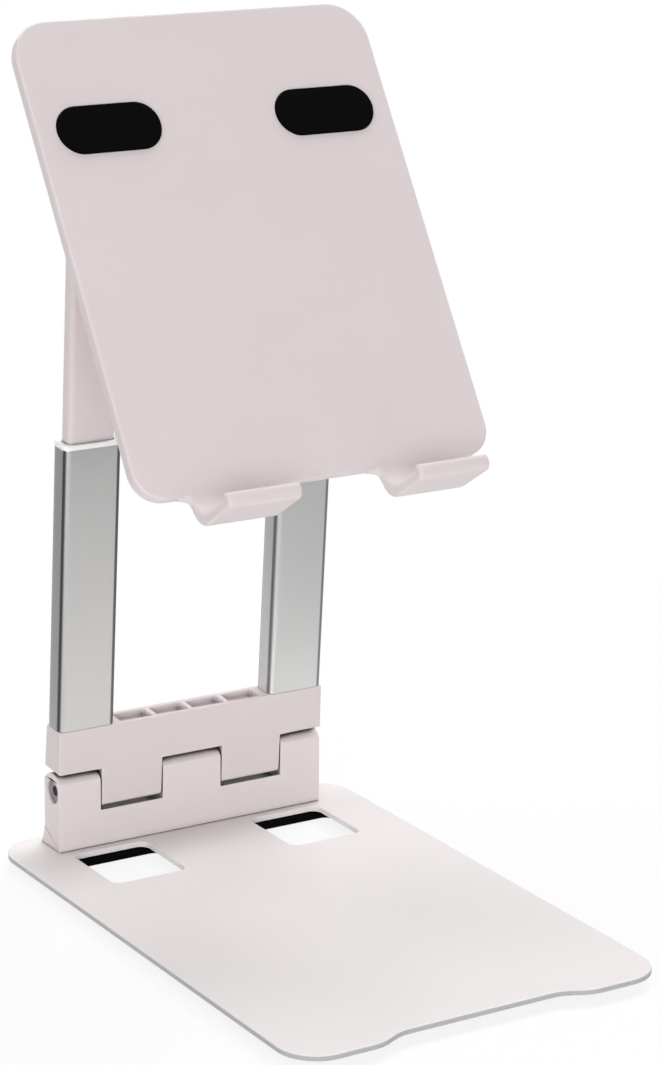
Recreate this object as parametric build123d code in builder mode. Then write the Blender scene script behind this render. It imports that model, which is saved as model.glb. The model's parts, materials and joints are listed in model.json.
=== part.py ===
from build123d import *
from math import cos, radians, sin, sqrt
import os

os.makedirs("parts", exist_ok=True)

# A folding phone stand. A thin steel base on a soft mat carries a hinge block.
# Two aluminium sleeves fold on it and hold two telescoping legs.
# The legs end in a second hinge, which tilts the plate that the phone leans on.
#
# Frame: millimetres, +Z up, +X to the right of someone facing the stand, +Y away from them.
# The origin is the centre of the base, on the table.
#
# ---------------------------------------------------------------- driving dimensions

# Base plate and mat
base_width = 80.0
base_length = 120.0
base_corner = 8.0
plate_thickness = 1.2
plate_edge_round = 0.3
notch_depth = 2.6
notch_mouth = 45.6
notch_floor = 34.8
notch_round = 8.0
mat_thickness = 2.0
mat_inset = 7.0
mat_side_inset = 4.5
mat_rear_inset = 3.0
mat_corner = 5.0
cutout_length = 18.0
cutout_corner = 2.0
cutout_clearance = 0.45
cutout_to_riser = 2.0
mat_cutout_relief = 3.2

# Fold hinge between the base and the arm
block_width = 61.2
block_edge_round = 0.8
knuckle_radius = 3.3
knuckle_crown_rise = 0.55
knuckle_gap = 0.7
knuckle_foot = 3.8
knuckle_foot_round = 0.9
fold_clearance = 0.6
fold_setback = 7.3
fold_height = 12.25
riser_foot = 1.7
riser_flare_height = 6.0
centre_knuckle = 13.6
side_knuckle = 14.3
knuckle_side_gap = 0.4
fold_pin_radius = 1.5
pin_head_radius = 2.45
pin_head_length = 2.2
pin_sink = 0.8
pin_socket = 2.0
pin_socket_depth = 1.3
nut_flats = 4.3
nut_length = 2.0
running_clearance = 0.05
washer_thickness = 0.2
washer_wall = 1.3

# Screws that hold the hinge block on the base
base_screw_radius = 1.25
base_screw_head = 2.3
base_screw_head_height = 1.2
base_screw_depth = 5.0
base_screw_near = 9.5
base_screw_far = 24.0
screw_clearance = 0.05
screw_relief = 0.5

# Arm: hinge yoke, sleeves and collars
arm_lean = 4.0
shoulder_height = 13.7
sleeve_width = 12.6
sleeve_thickness = 5.8
sleeve_wall = 0.5
sleeve_corner = 1.0
bar_pocket_width = 7.2
bar_pocket_depth = 1.6
bar_pocket_wall = 1.0
bar_pocket_rib = 1.2
tenon_height = 5.5
seat_clearance = 0.1
collar_rim = 1.0
collar_skirt = 5.0
sleeve_screw_radius = 0.9
sleeve_screw_length = 2.6
sleeve_screw_socket = 0.5

# Telescoping legs and their bridge
leg_width = 10.2
leg_thickness = 3.8
leg_corner = 1.1
slide_clearance = 0.1
slide_travel = 42.5
stop_gap = 0.3
shoe_gap = 0.8
shoe_length = 5.0
shoe_floor = 1.0
friction_pad_width = 6.0
friction_pad_height = 2.6
friction_pad_thickness = 0.3
arm_length = 129.4
bridge_height = 6.2
bridge_thickness = 4.4
leg_tenon_shoulder = 0.8
leg_tenon_height = 4.4
bridge_screw_radius = 1.0
bridge_screw_head = 1.8
bridge_screw_head_height = 0.7
bridge_screw_length = 3.2

# Tilt hinge between the legs and the phone plate
tilt_radius = 3.1
tilt_gap = 0.6
tilt_centre_knuckle = 10.0
tilt_side_knuckle = 9.0
tilt_side_gap = 0.4
tilt_pin_radius = 1.25
tilt_head_radius = 2.2
tilt_head_length = 1.8
tilt_pin_sink = 0.5
tilt_nut_flats = 3.8
tilt_nut_length = 1.6

# Phone plate, hooks, pads and hinge bracket
plate_tilt = 32.5
phone_width = 77.6
phone_length = 95.8
phone_thickness = 2.8
phone_corner = 8.0
phone_edge_round = 0.5
plate_above_axis = 25.6
hook_width = 15.6
hook_spacing = 41.0
hook_depth = 13.1
hook_drop = 6.7
hook_floor = 1.9
hook_lip_height = 1.1
hook_lip_thickness = 1.9
hook_bend = 4.8
hook_heel = 4.0
hook_nose = 1.5
hook_cove = 1.6
hook_overlap = 2.0
hook_corner = 1.0
hook_fillet = 2.2
hook_edge_gap = 2.3
pad_length = 21.8
pad_width = 9.5
pad_edge_gap = 4.2
pad_above_axis = 3.0
pad_thickness = 1.1
pad_sink = 0.5
pad_clearance = 0.1
bracket_end_margin = 4.1
bracket_height = 15.0
bracket_thickness = 1.3
bracket_corner = 3.0
bracket_screw_radius = 1.0
bracket_screw_head = 1.9
bracket_screw_head_height = 0.8
bracket_screw_spread = 12.4

# ---------------------------------------------------------------- places worked out from them

base_top = mat_thickness + plate_thickness
fold_y = base_length / 2 - fold_setback
fold_z = base_top + fold_height
knuckle_crown = knuckle_radius + knuckle_crown_rise
knuckle_shoulder = sqrt(knuckle_crown**2 - knuckle_radius**2)
pocket_reach = knuckle_crown + knuckle_gap
pocket_radius = sqrt(knuckle_radius**2 + knuckle_foot**2) + fold_clearance
bore_radius = fold_pin_radius + running_clearance
side_knuckle_x = (centre_knuckle + side_knuckle) / 2
yoke_knuckle_width = side_knuckle - 2 * knuckle_side_gap
washer_inner_x = (centre_knuckle + knuckle_side_gap) / 2
washer_outer_x = centre_knuckle / 2 + side_knuckle - knuckle_side_gap / 2
washer_radius = fold_pin_radius + washer_wall
counterbore_radius = pin_head_radius + seat_clearance
counterbore_depth = pin_sink + pin_head_length
end_x = block_width / 2

cutout_width = hook_width + 2 * cutout_clearance
mat_cutout_width = cutout_width + 2 * mat_cutout_relief
cutout_y = fold_y - knuckle_radius - cutout_to_riser - cutout_length / 2
hook_x = hook_spacing / 2

lean = radians(arm_lean)
arm_up = (0, -sin(lean), cos(lean))
arm_back = (0, cos(lean), sin(lean))
sleeve_x = end_x - sleeve_width / 2
cavity_width = sleeve_width - 2 * sleeve_wall
cavity_thickness = sleeve_thickness - 2 * sleeve_wall
sleeve_length = tenon_height + shoe_gap + slide_travel + shoe_length + stop_gap + collar_skirt
sleeve_top = shoulder_height + sleeve_length
insert_width = cavity_width - 2 * seat_clearance
insert_thickness = cavity_thickness - 2 * seat_clearance
shoe_top = sleeve_top - collar_skirt - stop_gap
shoe_bottom = shoe_top - shoe_length
leg_bottom = shoe_bottom + shoe_floor
tilt_reach = tilt_radius + tilt_gap
bridge_top = arm_length - tilt_reach
bridge_bottom = bridge_top - bridge_height
bridge_width = 2 * sleeve_x + leg_width
sleeve_screw_height = shoulder_height + tenon_height / 2
bridge_screw_height = bridge_bottom + leg_tenon_height / 2
bridge_screw_top = bridge_thickness / 2 + bridge_screw_head_height

tilt_y = fold_y - arm_length * sin(lean)
tilt_z = fold_z + arm_length * cos(lean)
tilt = radians(plate_tilt)
plate_up = (0, sin(tilt), cos(tilt))
plate_back = (0, cos(tilt), -sin(tilt))
plate_front = (0, -cos(tilt), sin(tilt))
back_face = tilt_reach + bracket_thickness
front_face = back_face + phone_thickness
plate_bottom = plate_above_axis - phone_length
plate_middle = plate_above_axis - phone_length / 2
tilt_bore = tilt_pin_radius + running_clearance
tilt_knuckle_x = tilt_centre_knuckle / 2 + tilt_side_gap + tilt_side_knuckle / 2
outer_knuckle_start = tilt_knuckle_x + tilt_side_knuckle / 2 + tilt_side_gap
tilt_end_x = bridge_width / 2
pad_x = phone_width / 2 - pad_edge_gap - pad_length / 2
bracket_width = 2 * pad_x + bracket_screw_spread + 2 * bracket_end_margin
lower_corner = phone_width / 2 - hook_x - hook_width / 2 - hook_fillet - hook_edge_gap
plate_normal = Axis(origin=(0, tilt_y, tilt_z), direction=plate_front)

SIDES = (("left", -1), ("right", 1))


def across(x, y, z):
    """A plane square to X: its own x points back along +Y and its y points up."""
    return Plane(origin=(x, y, z), x_dir=(0, 1, 0), z_dir=(1, 0, 0))


def arm_point(x, back, up):
    """A point given in the arm's frame, whose origin is the fold axis."""
    return (x, fold_y + back * arm_back[1] + up * arm_up[1], fold_z + back * arm_back[2] + up * arm_up[2])


def arm_section(up):
    """A plane square to the arm, `up` along it from the fold axis."""
    return Plane(origin=arm_point(0, 0, up), x_dir=(1, 0, 0), z_dir=arm_up)


def arm_side(x):
    """A plane square to X in the arm's frame: x points back, y points up the arm."""
    return Plane(origin=arm_point(x, 0, 0), x_dir=arm_back, z_dir=(1, 0, 0))


def arm_rear(x, back, up):
    """A plane that faces the arm's rear, centred on a point in the arm's frame."""
    return Plane(origin=arm_point(x, back, up), x_dir=(1, 0, 0), z_dir=arm_back)


def plate_section(up):
    """A plane square to the phone plate, `up` along it from the tilt axis; its y points back."""
    origin = (0, tilt_y + up * plate_up[1], tilt_z + up * plate_up[2])
    return Plane(origin=origin, x_dir=(1, 0, 0), z_dir=plate_up)


def plate_side(x):
    """A plane square to X in the phone plate's frame: x points back, y points up the plate."""
    return Plane(origin=(x, tilt_y, tilt_z), x_dir=plate_back, z_dir=(1, 0, 0))


def plate_face(forward):
    """A plane along the phone plate, `forward` of the tilt axis, facing the user."""
    origin = (0, tilt_y + forward * plate_front[1], tilt_z + forward * plate_front[2])
    return Plane(origin=origin, x_dir=(1, 0, 0), z_dir=plate_front)


# ---------------------------------------------------------------- base plate and mat

base_screw_places = []
for screw_x in (base_screw_near, base_screw_far):
    base_screw_places.append((-screw_x, fold_y))
    base_screw_places.append((screw_x, fold_y))
cutout_places = [(-hook_x, cutout_y), (hook_x, cutout_y)]

with BuildPart() as base_plate:
    with BuildSketch(Plane.XY.offset(mat_thickness)) as plate_outline:
        RectangleRounded(base_width, base_length, base_corner)
        with BuildLine():
            Polyline(
                (-notch_mouth / 2, -base_length / 2),
                (-notch_floor / 2, notch_depth - base_length / 2),
                (notch_floor / 2, notch_depth - base_length / 2),
                (notch_mouth / 2, -base_length / 2),
                close=True,
            )
        make_face(mode=Mode.SUBTRACT)
        notch_reach = notch_mouth / 2 + seat_clearance
        fillet(plate_outline.vertices().filter_by(lambda v: abs(v.X) < notch_reach), notch_round)
    extrude(amount=plate_thickness)
    fillet(base_plate.faces().sort_by(Axis.Z)[-1].outer_wire().edges(), plate_edge_round)
    with BuildSketch(Plane.XY.offset(mat_thickness)):
        with Locations(cutout_places):
            RectangleRounded(cutout_width, cutout_length, cutout_corner)
        with Locations(base_screw_places):
            Circle(base_screw_radius + screw_clearance)
    extrude(amount=plate_thickness, mode=Mode.SUBTRACT)
base_plate.part.label = "base_plate"
export_step(base_plate.part, "parts/base_plate.step")

with BuildPart() as base_mat:
    with BuildSketch(Plane.XY):
        with Locations((0, (mat_inset - mat_rear_inset) / 2)):
            RectangleRounded(base_width - 2 * mat_side_inset, base_length - mat_inset - mat_rear_inset, mat_corner)
        with Locations(cutout_places):
            RectangleRounded(mat_cutout_width, cutout_length, cutout_corner, mode=Mode.SUBTRACT)
        with Locations(base_screw_places):
            Circle(base_screw_head + screw_relief, mode=Mode.SUBTRACT)
    extrude(amount=mat_thickness)
base_mat.part.label = "base_mat"
export_step(base_mat.part, "parts/base_mat.step")

# ---------------------------------------------------------------- lower hinge block

crown_start = fold_height + knuckle_shoulder
crown_top = fold_height + knuckle_crown

with BuildPart() as riser_block:
    with BuildSketch(across(-end_x, fold_y, base_top)):
        with BuildLine():
            Line((-knuckle_radius, 0), (-knuckle_radius, crown_start))
            ThreePointArc((-knuckle_radius, crown_start), (0, crown_top), (knuckle_radius, crown_start))
            Line((knuckle_radius, crown_start), (knuckle_radius, riser_flare_height))
            TangentArc(
                (knuckle_radius, riser_flare_height),
                (knuckle_radius + riser_foot, 0),
                tangent=(0, -1),
            )
            Line((knuckle_radius + riser_foot, 0), (-knuckle_radius, 0))
        make_face()
    extrude(amount=block_width)
    end_edges = riser_block.edges().filter_by(lambda e: abs(abs(e.center().X) - end_x) < seat_clearance)
    fillet(end_edges.filter_by(lambda e: e.center().Z > base_top + seat_clearance), block_edge_round)
    for side, sign in SIDES:
        with BuildSketch(across(sign * side_knuckle_x - side_knuckle / 2, fold_y, fold_z)):
            Circle(pocket_radius)
            Rectangle(2 * pocket_radius, pocket_radius, align=(Align.CENTER, Align.MIN))
        extrude(amount=side_knuckle, mode=Mode.SUBTRACT)
    with BuildSketch(across(-end_x, fold_y, fold_z)):
        Circle(bore_radius)
    extrude(amount=block_width, mode=Mode.SUBTRACT)
    for start in (-end_x, end_x - counterbore_depth):
        with BuildSketch(across(start, fold_y, fold_z)):
            Circle(counterbore_radius)
        extrude(amount=counterbore_depth, mode=Mode.SUBTRACT)
    with BuildSketch(Plane.XY.offset(base_top)):
        with Locations(base_screw_places):
            Circle(base_screw_radius + screw_clearance)
    extrude(amount=base_screw_depth + screw_relief, mode=Mode.SUBTRACT)
riser_block.part.label = "riser_block"
export_step(riser_block.part, "parts/riser_block.step")

with BuildPart() as base_screws:
    with BuildSketch(Plane.XY.offset(mat_thickness)):
        with Locations(base_screw_places):
            Circle(base_screw_head)
    extrude(amount=-base_screw_head_height)
    with BuildSketch(Plane.XY.offset(mat_thickness)):
        with Locations(base_screw_places):
            Circle(base_screw_radius)
    extrude(amount=plate_thickness + base_screw_depth)
    with BuildSketch(Plane.XY.offset(mat_thickness - base_screw_head_height)):
        with Locations(base_screw_places):
            RegularPolygon(base_screw_radius, 6)
    extrude(amount=base_screw_head_height / 2, mode=Mode.SUBTRACT)
base_screws.part.label = "base_screws"
export_step(base_screws.part, "parts/base_screws.step")

# ---------------------------------------------------------------- fold pin, nut and washers

with BuildPart() as fold_pin:
    with BuildSketch(across(pin_sink - end_x, fold_y, fold_z)):
        Circle(pin_head_radius)
    extrude(amount=pin_head_length)
    with BuildSketch(across(pin_sink - end_x, fold_y, fold_z)):
        Circle(fold_pin_radius)
    extrude(amount=block_width - 2 * pin_sink)
    with BuildSketch(across(pin_sink - end_x, fold_y, fold_z)):
        RegularPolygon(pin_socket / 2, 6, major_radius=False)
    extrude(amount=pin_socket_depth, mode=Mode.SUBTRACT)
fold_pin.part.label = "fold_pin"
export_step(fold_pin.part, "parts/fold_pin.step")

with BuildPart() as fold_pin_nut:
    with BuildSketch(across(end_x - counterbore_depth, fold_y, fold_z)):
        RegularPolygon(nut_flats / 2, 6, major_radius=False)
        Circle(fold_pin_radius + screw_clearance, mode=Mode.SUBTRACT)
    extrude(amount=nut_length)
fold_pin_nut.part.label = "fold_pin_nut"
export_step(fold_pin_nut.part, "parts/fold_pin_nut.step")

with BuildPart() as fold_washers:
    for gap_x in (washer_inner_x, washer_outer_x):
        for side, sign in SIDES:
            with BuildSketch(across(sign * gap_x - washer_thickness / 2, fold_y, fold_z)):
                Circle(washer_radius)
                Circle(bore_radius, mode=Mode.SUBTRACT)
            extrude(amount=washer_thickness)
fold_washers.part.label = "fold_washers"
export_step(fold_washers.part, "parts/fold_washers.step")

# ---------------------------------------------------------------- upper hinge block

bar_pocket_pitch = bar_pocket_width + bar_pocket_rib

with BuildPart() as yoke_block:
    with BuildSketch(arm_section(pocket_reach)):
        RectangleRounded(block_width, 2 * knuckle_radius, sleeve_corner)
    with BuildSketch(arm_section(shoulder_height)):
        RectangleRounded(block_width, sleeve_thickness, sleeve_corner)
    loft()
    for side, sign in SIDES:
        with BuildSketch(arm_side(sign * side_knuckle_x - yoke_knuckle_width / 2)) as knuckle_side:
            with Locations((0, -knuckle_foot)):
                Rectangle(2 * knuckle_radius, knuckle_foot + pocket_reach, align=(Align.CENTER, Align.MIN))
            fillet(knuckle_side.vertices().group_by(Axis.Y)[0], knuckle_foot_round)
        extrude(amount=yoke_knuckle_width)
    with BuildSketch(arm_section(shoulder_height)):
        with Locations((-sleeve_x, 0), (sleeve_x, 0)):
            RectangleRounded(insert_width, insert_thickness, sleeve_wall)
    extrude(amount=tenon_height)
    with BuildSketch(arm_section(shoulder_height)):
        with GridLocations(bar_pocket_pitch, 0, 4, 1):
            Rectangle(bar_pocket_width, sleeve_thickness - 2 * bar_pocket_wall)
    extrude(amount=-bar_pocket_depth, mode=Mode.SUBTRACT)
    with BuildSketch(arm_side(-end_x)):
        Circle(bore_radius)
    extrude(amount=block_width, mode=Mode.SUBTRACT)
    for side, sign in SIDES:
        with BuildSketch(arm_rear(sign * sleeve_x, sleeve_thickness / 2, sleeve_screw_height)):
            Circle(sleeve_screw_radius + screw_clearance)
        extrude(amount=-sleeve_screw_length - sleeve_screw_socket, mode=Mode.SUBTRACT)
yoke_block.part.label = "yoke_block"
export_step(yoke_block.part, "parts/yoke_block.step")

# ---------------------------------------------------------------- sleeves, collars and their screws

for side, sign in SIDES:
    with BuildPart() as sleeve:
        with BuildSketch(arm_section(shoulder_height)):
            with Locations((sign * sleeve_x, 0)):
                RectangleRounded(sleeve_width, sleeve_thickness, sleeve_corner)
                RectangleRounded(cavity_width, cavity_thickness, sleeve_wall, mode=Mode.SUBTRACT)
        extrude(amount=sleeve_length)
        with BuildSketch(arm_rear(sign * sleeve_x, sleeve_thickness / 2, sleeve_screw_height)):
            Circle(sleeve_screw_radius + screw_clearance)
        extrude(amount=-2 * sleeve_wall, mode=Mode.SUBTRACT)
    sleeve.part.label = f"{side}_sleeve"
    export_step(sleeve.part, f"parts/{side}_sleeve.step")

    with BuildPart() as collar:
        with BuildSketch(arm_section(sleeve_top)):
            with Locations((sign * sleeve_x, 0)):
                RectangleRounded(sleeve_width, sleeve_thickness, sleeve_corner)
        extrude(amount=collar_rim)
        fillet(collar.faces().sort_by(Axis.Z)[-1].outer_wire().edges(), collar_rim / 3)
        with BuildSketch(arm_section(sleeve_top - collar_skirt)):
            with Locations((sign * sleeve_x, 0)):
                RectangleRounded(insert_width, insert_thickness, sleeve_wall)
        extrude(amount=collar_skirt)
        with BuildSketch(arm_section(sleeve_top - collar_skirt)):
            with Locations((sign * sleeve_x, 0)):
                RectangleRounded(
                    leg_width + 2 * slide_clearance,
                    leg_thickness + 2 * slide_clearance,
                    leg_corner + slide_clearance,
                )
        extrude(amount=collar_skirt + collar_rim, mode=Mode.SUBTRACT)
    collar.part.label = f"{side}_collar"
    export_step(collar.part, f"parts/{side}_collar.step")

with BuildPart() as sleeve_screws:
    for side, sign in SIDES:
        with BuildSketch(arm_rear(sign * sleeve_x, sleeve_thickness / 2, sleeve_screw_height)):
            Circle(sleeve_screw_radius)
        extrude(amount=-sleeve_screw_length)
        with BuildSketch(arm_rear(sign * sleeve_x, sleeve_thickness / 2, sleeve_screw_height)):
            RegularPolygon(sleeve_screw_socket, 6, major_radius=False)
        extrude(amount=-sleeve_screw_socket, mode=Mode.SUBTRACT)
sleeve_screws.part.label = "sleeve_screws"
export_step(sleeve_screws.part, "parts/sleeve_screws.step")

# ---------------------------------------------------------------- legs, shoes and friction pads

leg_tenon_width = leg_width - 2 * leg_tenon_shoulder
leg_tenon_thickness = leg_thickness - 2 * leg_tenon_shoulder
shoe_width = cavity_width - 2 * slide_clearance
shoe_thickness = cavity_thickness - 2 * slide_clearance

for side, sign in SIDES:
    with BuildPart() as leg:
        with BuildSketch(arm_section(leg_bottom)):
            with Locations((sign * sleeve_x, 0)):
                RectangleRounded(leg_width, leg_thickness, leg_corner)
        extrude(amount=bridge_bottom - leg_bottom)
        with BuildSketch(arm_section(bridge_bottom)):
            with Locations((sign * sleeve_x, 0)):
                Rectangle(leg_tenon_width, leg_tenon_thickness)
        extrude(amount=leg_tenon_height)
        with BuildSketch(arm_rear(sign * sleeve_x, leg_thickness, bridge_screw_height)):
            Circle(bridge_screw_radius + screw_clearance)
        extrude(amount=-2 * leg_thickness, mode=Mode.SUBTRACT)
    leg.part.label = f"{side}_leg"
    export_step(leg.part, f"parts/{side}_leg.step")

    with BuildPart() as shoe:
        with BuildSketch(arm_section(shoe_bottom)):
            with Locations((sign * sleeve_x, 0)):
                RectangleRounded(shoe_width, shoe_thickness, sleeve_wall)
        extrude(amount=shoe_length)
        with BuildSketch(arm_section(leg_bottom)):
            with Locations((sign * sleeve_x, 0)):
                RectangleRounded(
                    leg_width + 2 * screw_clearance,
                    leg_thickness + 2 * screw_clearance,
                    leg_corner + screw_clearance,
                )
        extrude(amount=shoe_length, mode=Mode.SUBTRACT)
        with BuildSketch(arm_rear(sign * sleeve_x, shoe_thickness / 2, (shoe_bottom + shoe_top) / 2)):
            Rectangle(friction_pad_width + 2 * screw_clearance, friction_pad_height + 2 * screw_clearance)
        extrude(amount=-friction_pad_thickness, mode=Mode.SUBTRACT)
    shoe.part.label = f"{side}_shoe"
    export_step(shoe.part, f"parts/{side}_shoe.step")

with BuildPart() as friction_pads:
    for side, sign in SIDES:
        with BuildSketch(arm_rear(sign * sleeve_x, shoe_thickness / 2, (shoe_bottom + shoe_top) / 2)):
            Rectangle(friction_pad_width, friction_pad_height)
        extrude(amount=-friction_pad_thickness)
friction_pads.part.label = "friction_pads"
export_step(friction_pads.part, "parts/friction_pads.step")

# ---------------------------------------------------------------- bridge across the legs

tilt_counterbore = tilt_head_radius + seat_clearance
tilt_counterbore_depth = tilt_pin_sink + tilt_head_length
outer_knuckle_width = tilt_end_x - outer_knuckle_start
bridge_knuckles = (
    (-tilt_end_x, outer_knuckle_width),
    (-tilt_centre_knuckle / 2, tilt_centre_knuckle),
    (outer_knuckle_start, outer_knuckle_width),
)

with BuildPart() as leg_bridge:
    with BuildSketch(arm_side(-tilt_end_x)):
        with BuildLine():
            Polyline(
                (-bridge_thickness / 2, bridge_bottom),
                (bridge_thickness / 2, bridge_bottom),
                (tilt_radius, bridge_bottom + bridge_height / 2),
                (tilt_radius, bridge_top),
                (-tilt_radius, bridge_top),
                (-tilt_radius, bridge_bottom + bridge_height / 2),
                close=True,
            )
        make_face()
    extrude(amount=bridge_width)
    for start, width in bridge_knuckles:
        with BuildSketch(arm_side(start)):
            with Locations((0, arm_length)):
                Circle(tilt_radius)
                Rectangle(2 * tilt_radius, tilt_reach, align=(Align.CENTER, Align.MAX))
        extrude(amount=width)
    with BuildSketch(arm_side(-tilt_end_x)):
        with Locations((0, arm_length)):
            Circle(tilt_bore)
    extrude(amount=bridge_width, mode=Mode.SUBTRACT)
    for start in (-tilt_end_x, tilt_end_x - tilt_counterbore_depth):
        with BuildSketch(arm_side(start)):
            with Locations((0, arm_length)):
                Circle(tilt_counterbore)
        extrude(amount=tilt_counterbore_depth, mode=Mode.SUBTRACT)
    with BuildSketch(arm_section(bridge_bottom)):
        with Locations((-sleeve_x, 0), (sleeve_x, 0)):
            Rectangle(leg_tenon_width + 2 * screw_clearance, leg_tenon_thickness + 2 * screw_clearance)
    extrude(amount=leg_tenon_height + screw_clearance, mode=Mode.SUBTRACT)
    for side, sign in SIDES:
        with BuildSketch(arm_rear(sign * sleeve_x, tilt_radius, bridge_screw_height)):
            Circle(bridge_screw_radius + screw_clearance)
        extrude(amount=-tilt_radius, mode=Mode.SUBTRACT)
        with BuildSketch(arm_rear(sign * sleeve_x, bridge_screw_top, bridge_screw_height)):
            Circle(bridge_screw_head + seat_clearance)
        extrude(amount=-bridge_screw_head_height, mode=Mode.SUBTRACT)
leg_bridge.part.label = "leg_bridge"
export_step(leg_bridge.part, "parts/leg_bridge.step")

with BuildPart() as bridge_screws:
    for side, sign in SIDES:
        with BuildSketch(arm_rear(sign * sleeve_x, bridge_thickness / 2, bridge_screw_height)):
            Circle(bridge_screw_head)
        extrude(amount=bridge_screw_head_height)
        with BuildSketch(arm_rear(sign * sleeve_x, bridge_thickness / 2, bridge_screw_height)):
            Circle(bridge_screw_radius)
        extrude(amount=-bridge_screw_length)
        with BuildSketch(arm_rear(sign * sleeve_x, bridge_screw_top, bridge_screw_height)):
            RegularPolygon(bridge_screw_radius, 6)
        extrude(amount=-bridge_screw_head_height / 2, mode=Mode.SUBTRACT)
bridge_screws.part.label = "bridge_screws"
export_step(bridge_screws.part, "parts/bridge_screws.step")

# ---------------------------------------------------------------- tilt pin, nut and washers

with BuildPart() as tilt_pin:
    with BuildSketch(arm_side(tilt_pin_sink - tilt_end_x)):
        with Locations((0, arm_length)):
            Circle(tilt_head_radius)
    extrude(amount=tilt_head_length)
    with BuildSketch(arm_side(tilt_pin_sink - tilt_end_x)):
        with Locations((0, arm_length)):
            Circle(tilt_pin_radius)
    extrude(amount=bridge_width - 2 * tilt_pin_sink)
    with BuildSketch(arm_side(tilt_pin_sink - tilt_end_x)):
        with Locations((0, arm_length)):
            RegularPolygon(pin_socket / 2, 6, major_radius=False)
    extrude(amount=pin_socket_depth, mode=Mode.SUBTRACT)
tilt_pin.part.label = "tilt_pin"
export_step(tilt_pin.part, "parts/tilt_pin.step")

with BuildPart() as tilt_pin_nut:
    with BuildSketch(arm_side(tilt_end_x - tilt_counterbore_depth)):
        with Locations((0, arm_length)):
            RegularPolygon(tilt_nut_flats / 2, 6, major_radius=False)
            Circle(tilt_pin_radius + screw_clearance, mode=Mode.SUBTRACT)
    extrude(amount=tilt_nut_length)
tilt_pin_nut.part.label = "tilt_pin_nut"
export_step(tilt_pin_nut.part, "parts/tilt_pin_nut.step")

with BuildPart() as tilt_washers:
    for gap_x in (tilt_centre_knuckle / 2 + tilt_side_gap / 2, outer_knuckle_start - tilt_side_gap / 2):
        for side, sign in SIDES:
            with BuildSketch(arm_side(sign * gap_x - washer_thickness / 2)):
                with Locations((0, arm_length)):
                    Circle(tilt_pin_radius + washer_wall)
                    Circle(tilt_bore, mode=Mode.SUBTRACT)
            extrude(amount=washer_thickness)
tilt_washers.part.label = "tilt_washers"
export_step(tilt_washers.part, "parts/tilt_washers.step")

# ---------------------------------------------------------------- phone plate with its two hooks

bracket_screw_places = []
for side, sign in SIDES:
    for inward in (-1, 1):
        bracket_screw_places.append((sign * pad_x + inward * bracket_screw_spread / 2, pad_above_axis))
hook_bottom = plate_bottom - hook_drop
ledge_top = hook_bottom + hook_floor
heel_top = hook_bottom + hook_heel
nose_top = hook_bottom + hook_nose
cove_bottom = plate_bottom - hook_cove
neck_back = back_face + hook_cove
hook_end = front_face + hook_depth
lip_inner = hook_end - hook_lip_thickness
tip_radius = hook_lip_thickness / 2
tip_level = ledge_top + hook_lip_height - tip_radius
bend_top = ledge_top + hook_bend
bend_end = front_face + hook_bend
overlap_top = plate_bottom + hook_overlap
hook_reach = hook_end - back_face
hook_middle = hook_end - hook_reach / 2

with BuildPart() as hooks:
    for side, sign in SIDES:
        with BuildSketch(plate_side(sign * hook_x - hook_width / 2)):
            with BuildLine():
                CenterArc((-back_face, cove_bottom), hook_cove, 90, 90)
                Line((-neck_back, cove_bottom), (-neck_back, heel_top))
                CenterArc((-neck_back - hook_heel, heel_top), hook_heel, 0, -90)
                Line((-neck_back - hook_heel, hook_bottom), (hook_nose - hook_end, hook_bottom))
                CenterArc((hook_nose - hook_end, nose_top), hook_nose, -90, -90)
                Line((-hook_end, nose_top), (-hook_end, tip_level))
                CenterArc((tip_radius - hook_end, tip_level), tip_radius, 180, -180)
                Line((-lip_inner, tip_level), (-lip_inner, ledge_top))
                Line((-lip_inner, ledge_top), (-bend_end, ledge_top))
                CenterArc((-bend_end, bend_top), hook_bend, -90, 90)
                Line((-front_face, bend_top), (-front_face, overlap_top))
                Line((-front_face, overlap_top), (-back_face, overlap_top))
                Line((-back_face, overlap_top), (-back_face, plate_bottom))
            make_face()
        extrude(amount=hook_width)
    with BuildSketch(plate_section(hook_bottom)) as hook_plan:
        with Locations((-hook_x, -hook_middle), (hook_x, -hook_middle)):
            Rectangle(hook_width, hook_reach)
        fillet(hook_plan.vertices().group_by(Axis.Y)[0], hook_corner)
    extrude(amount=2 * hook_drop, mode=Mode.INTERSECT)

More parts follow.
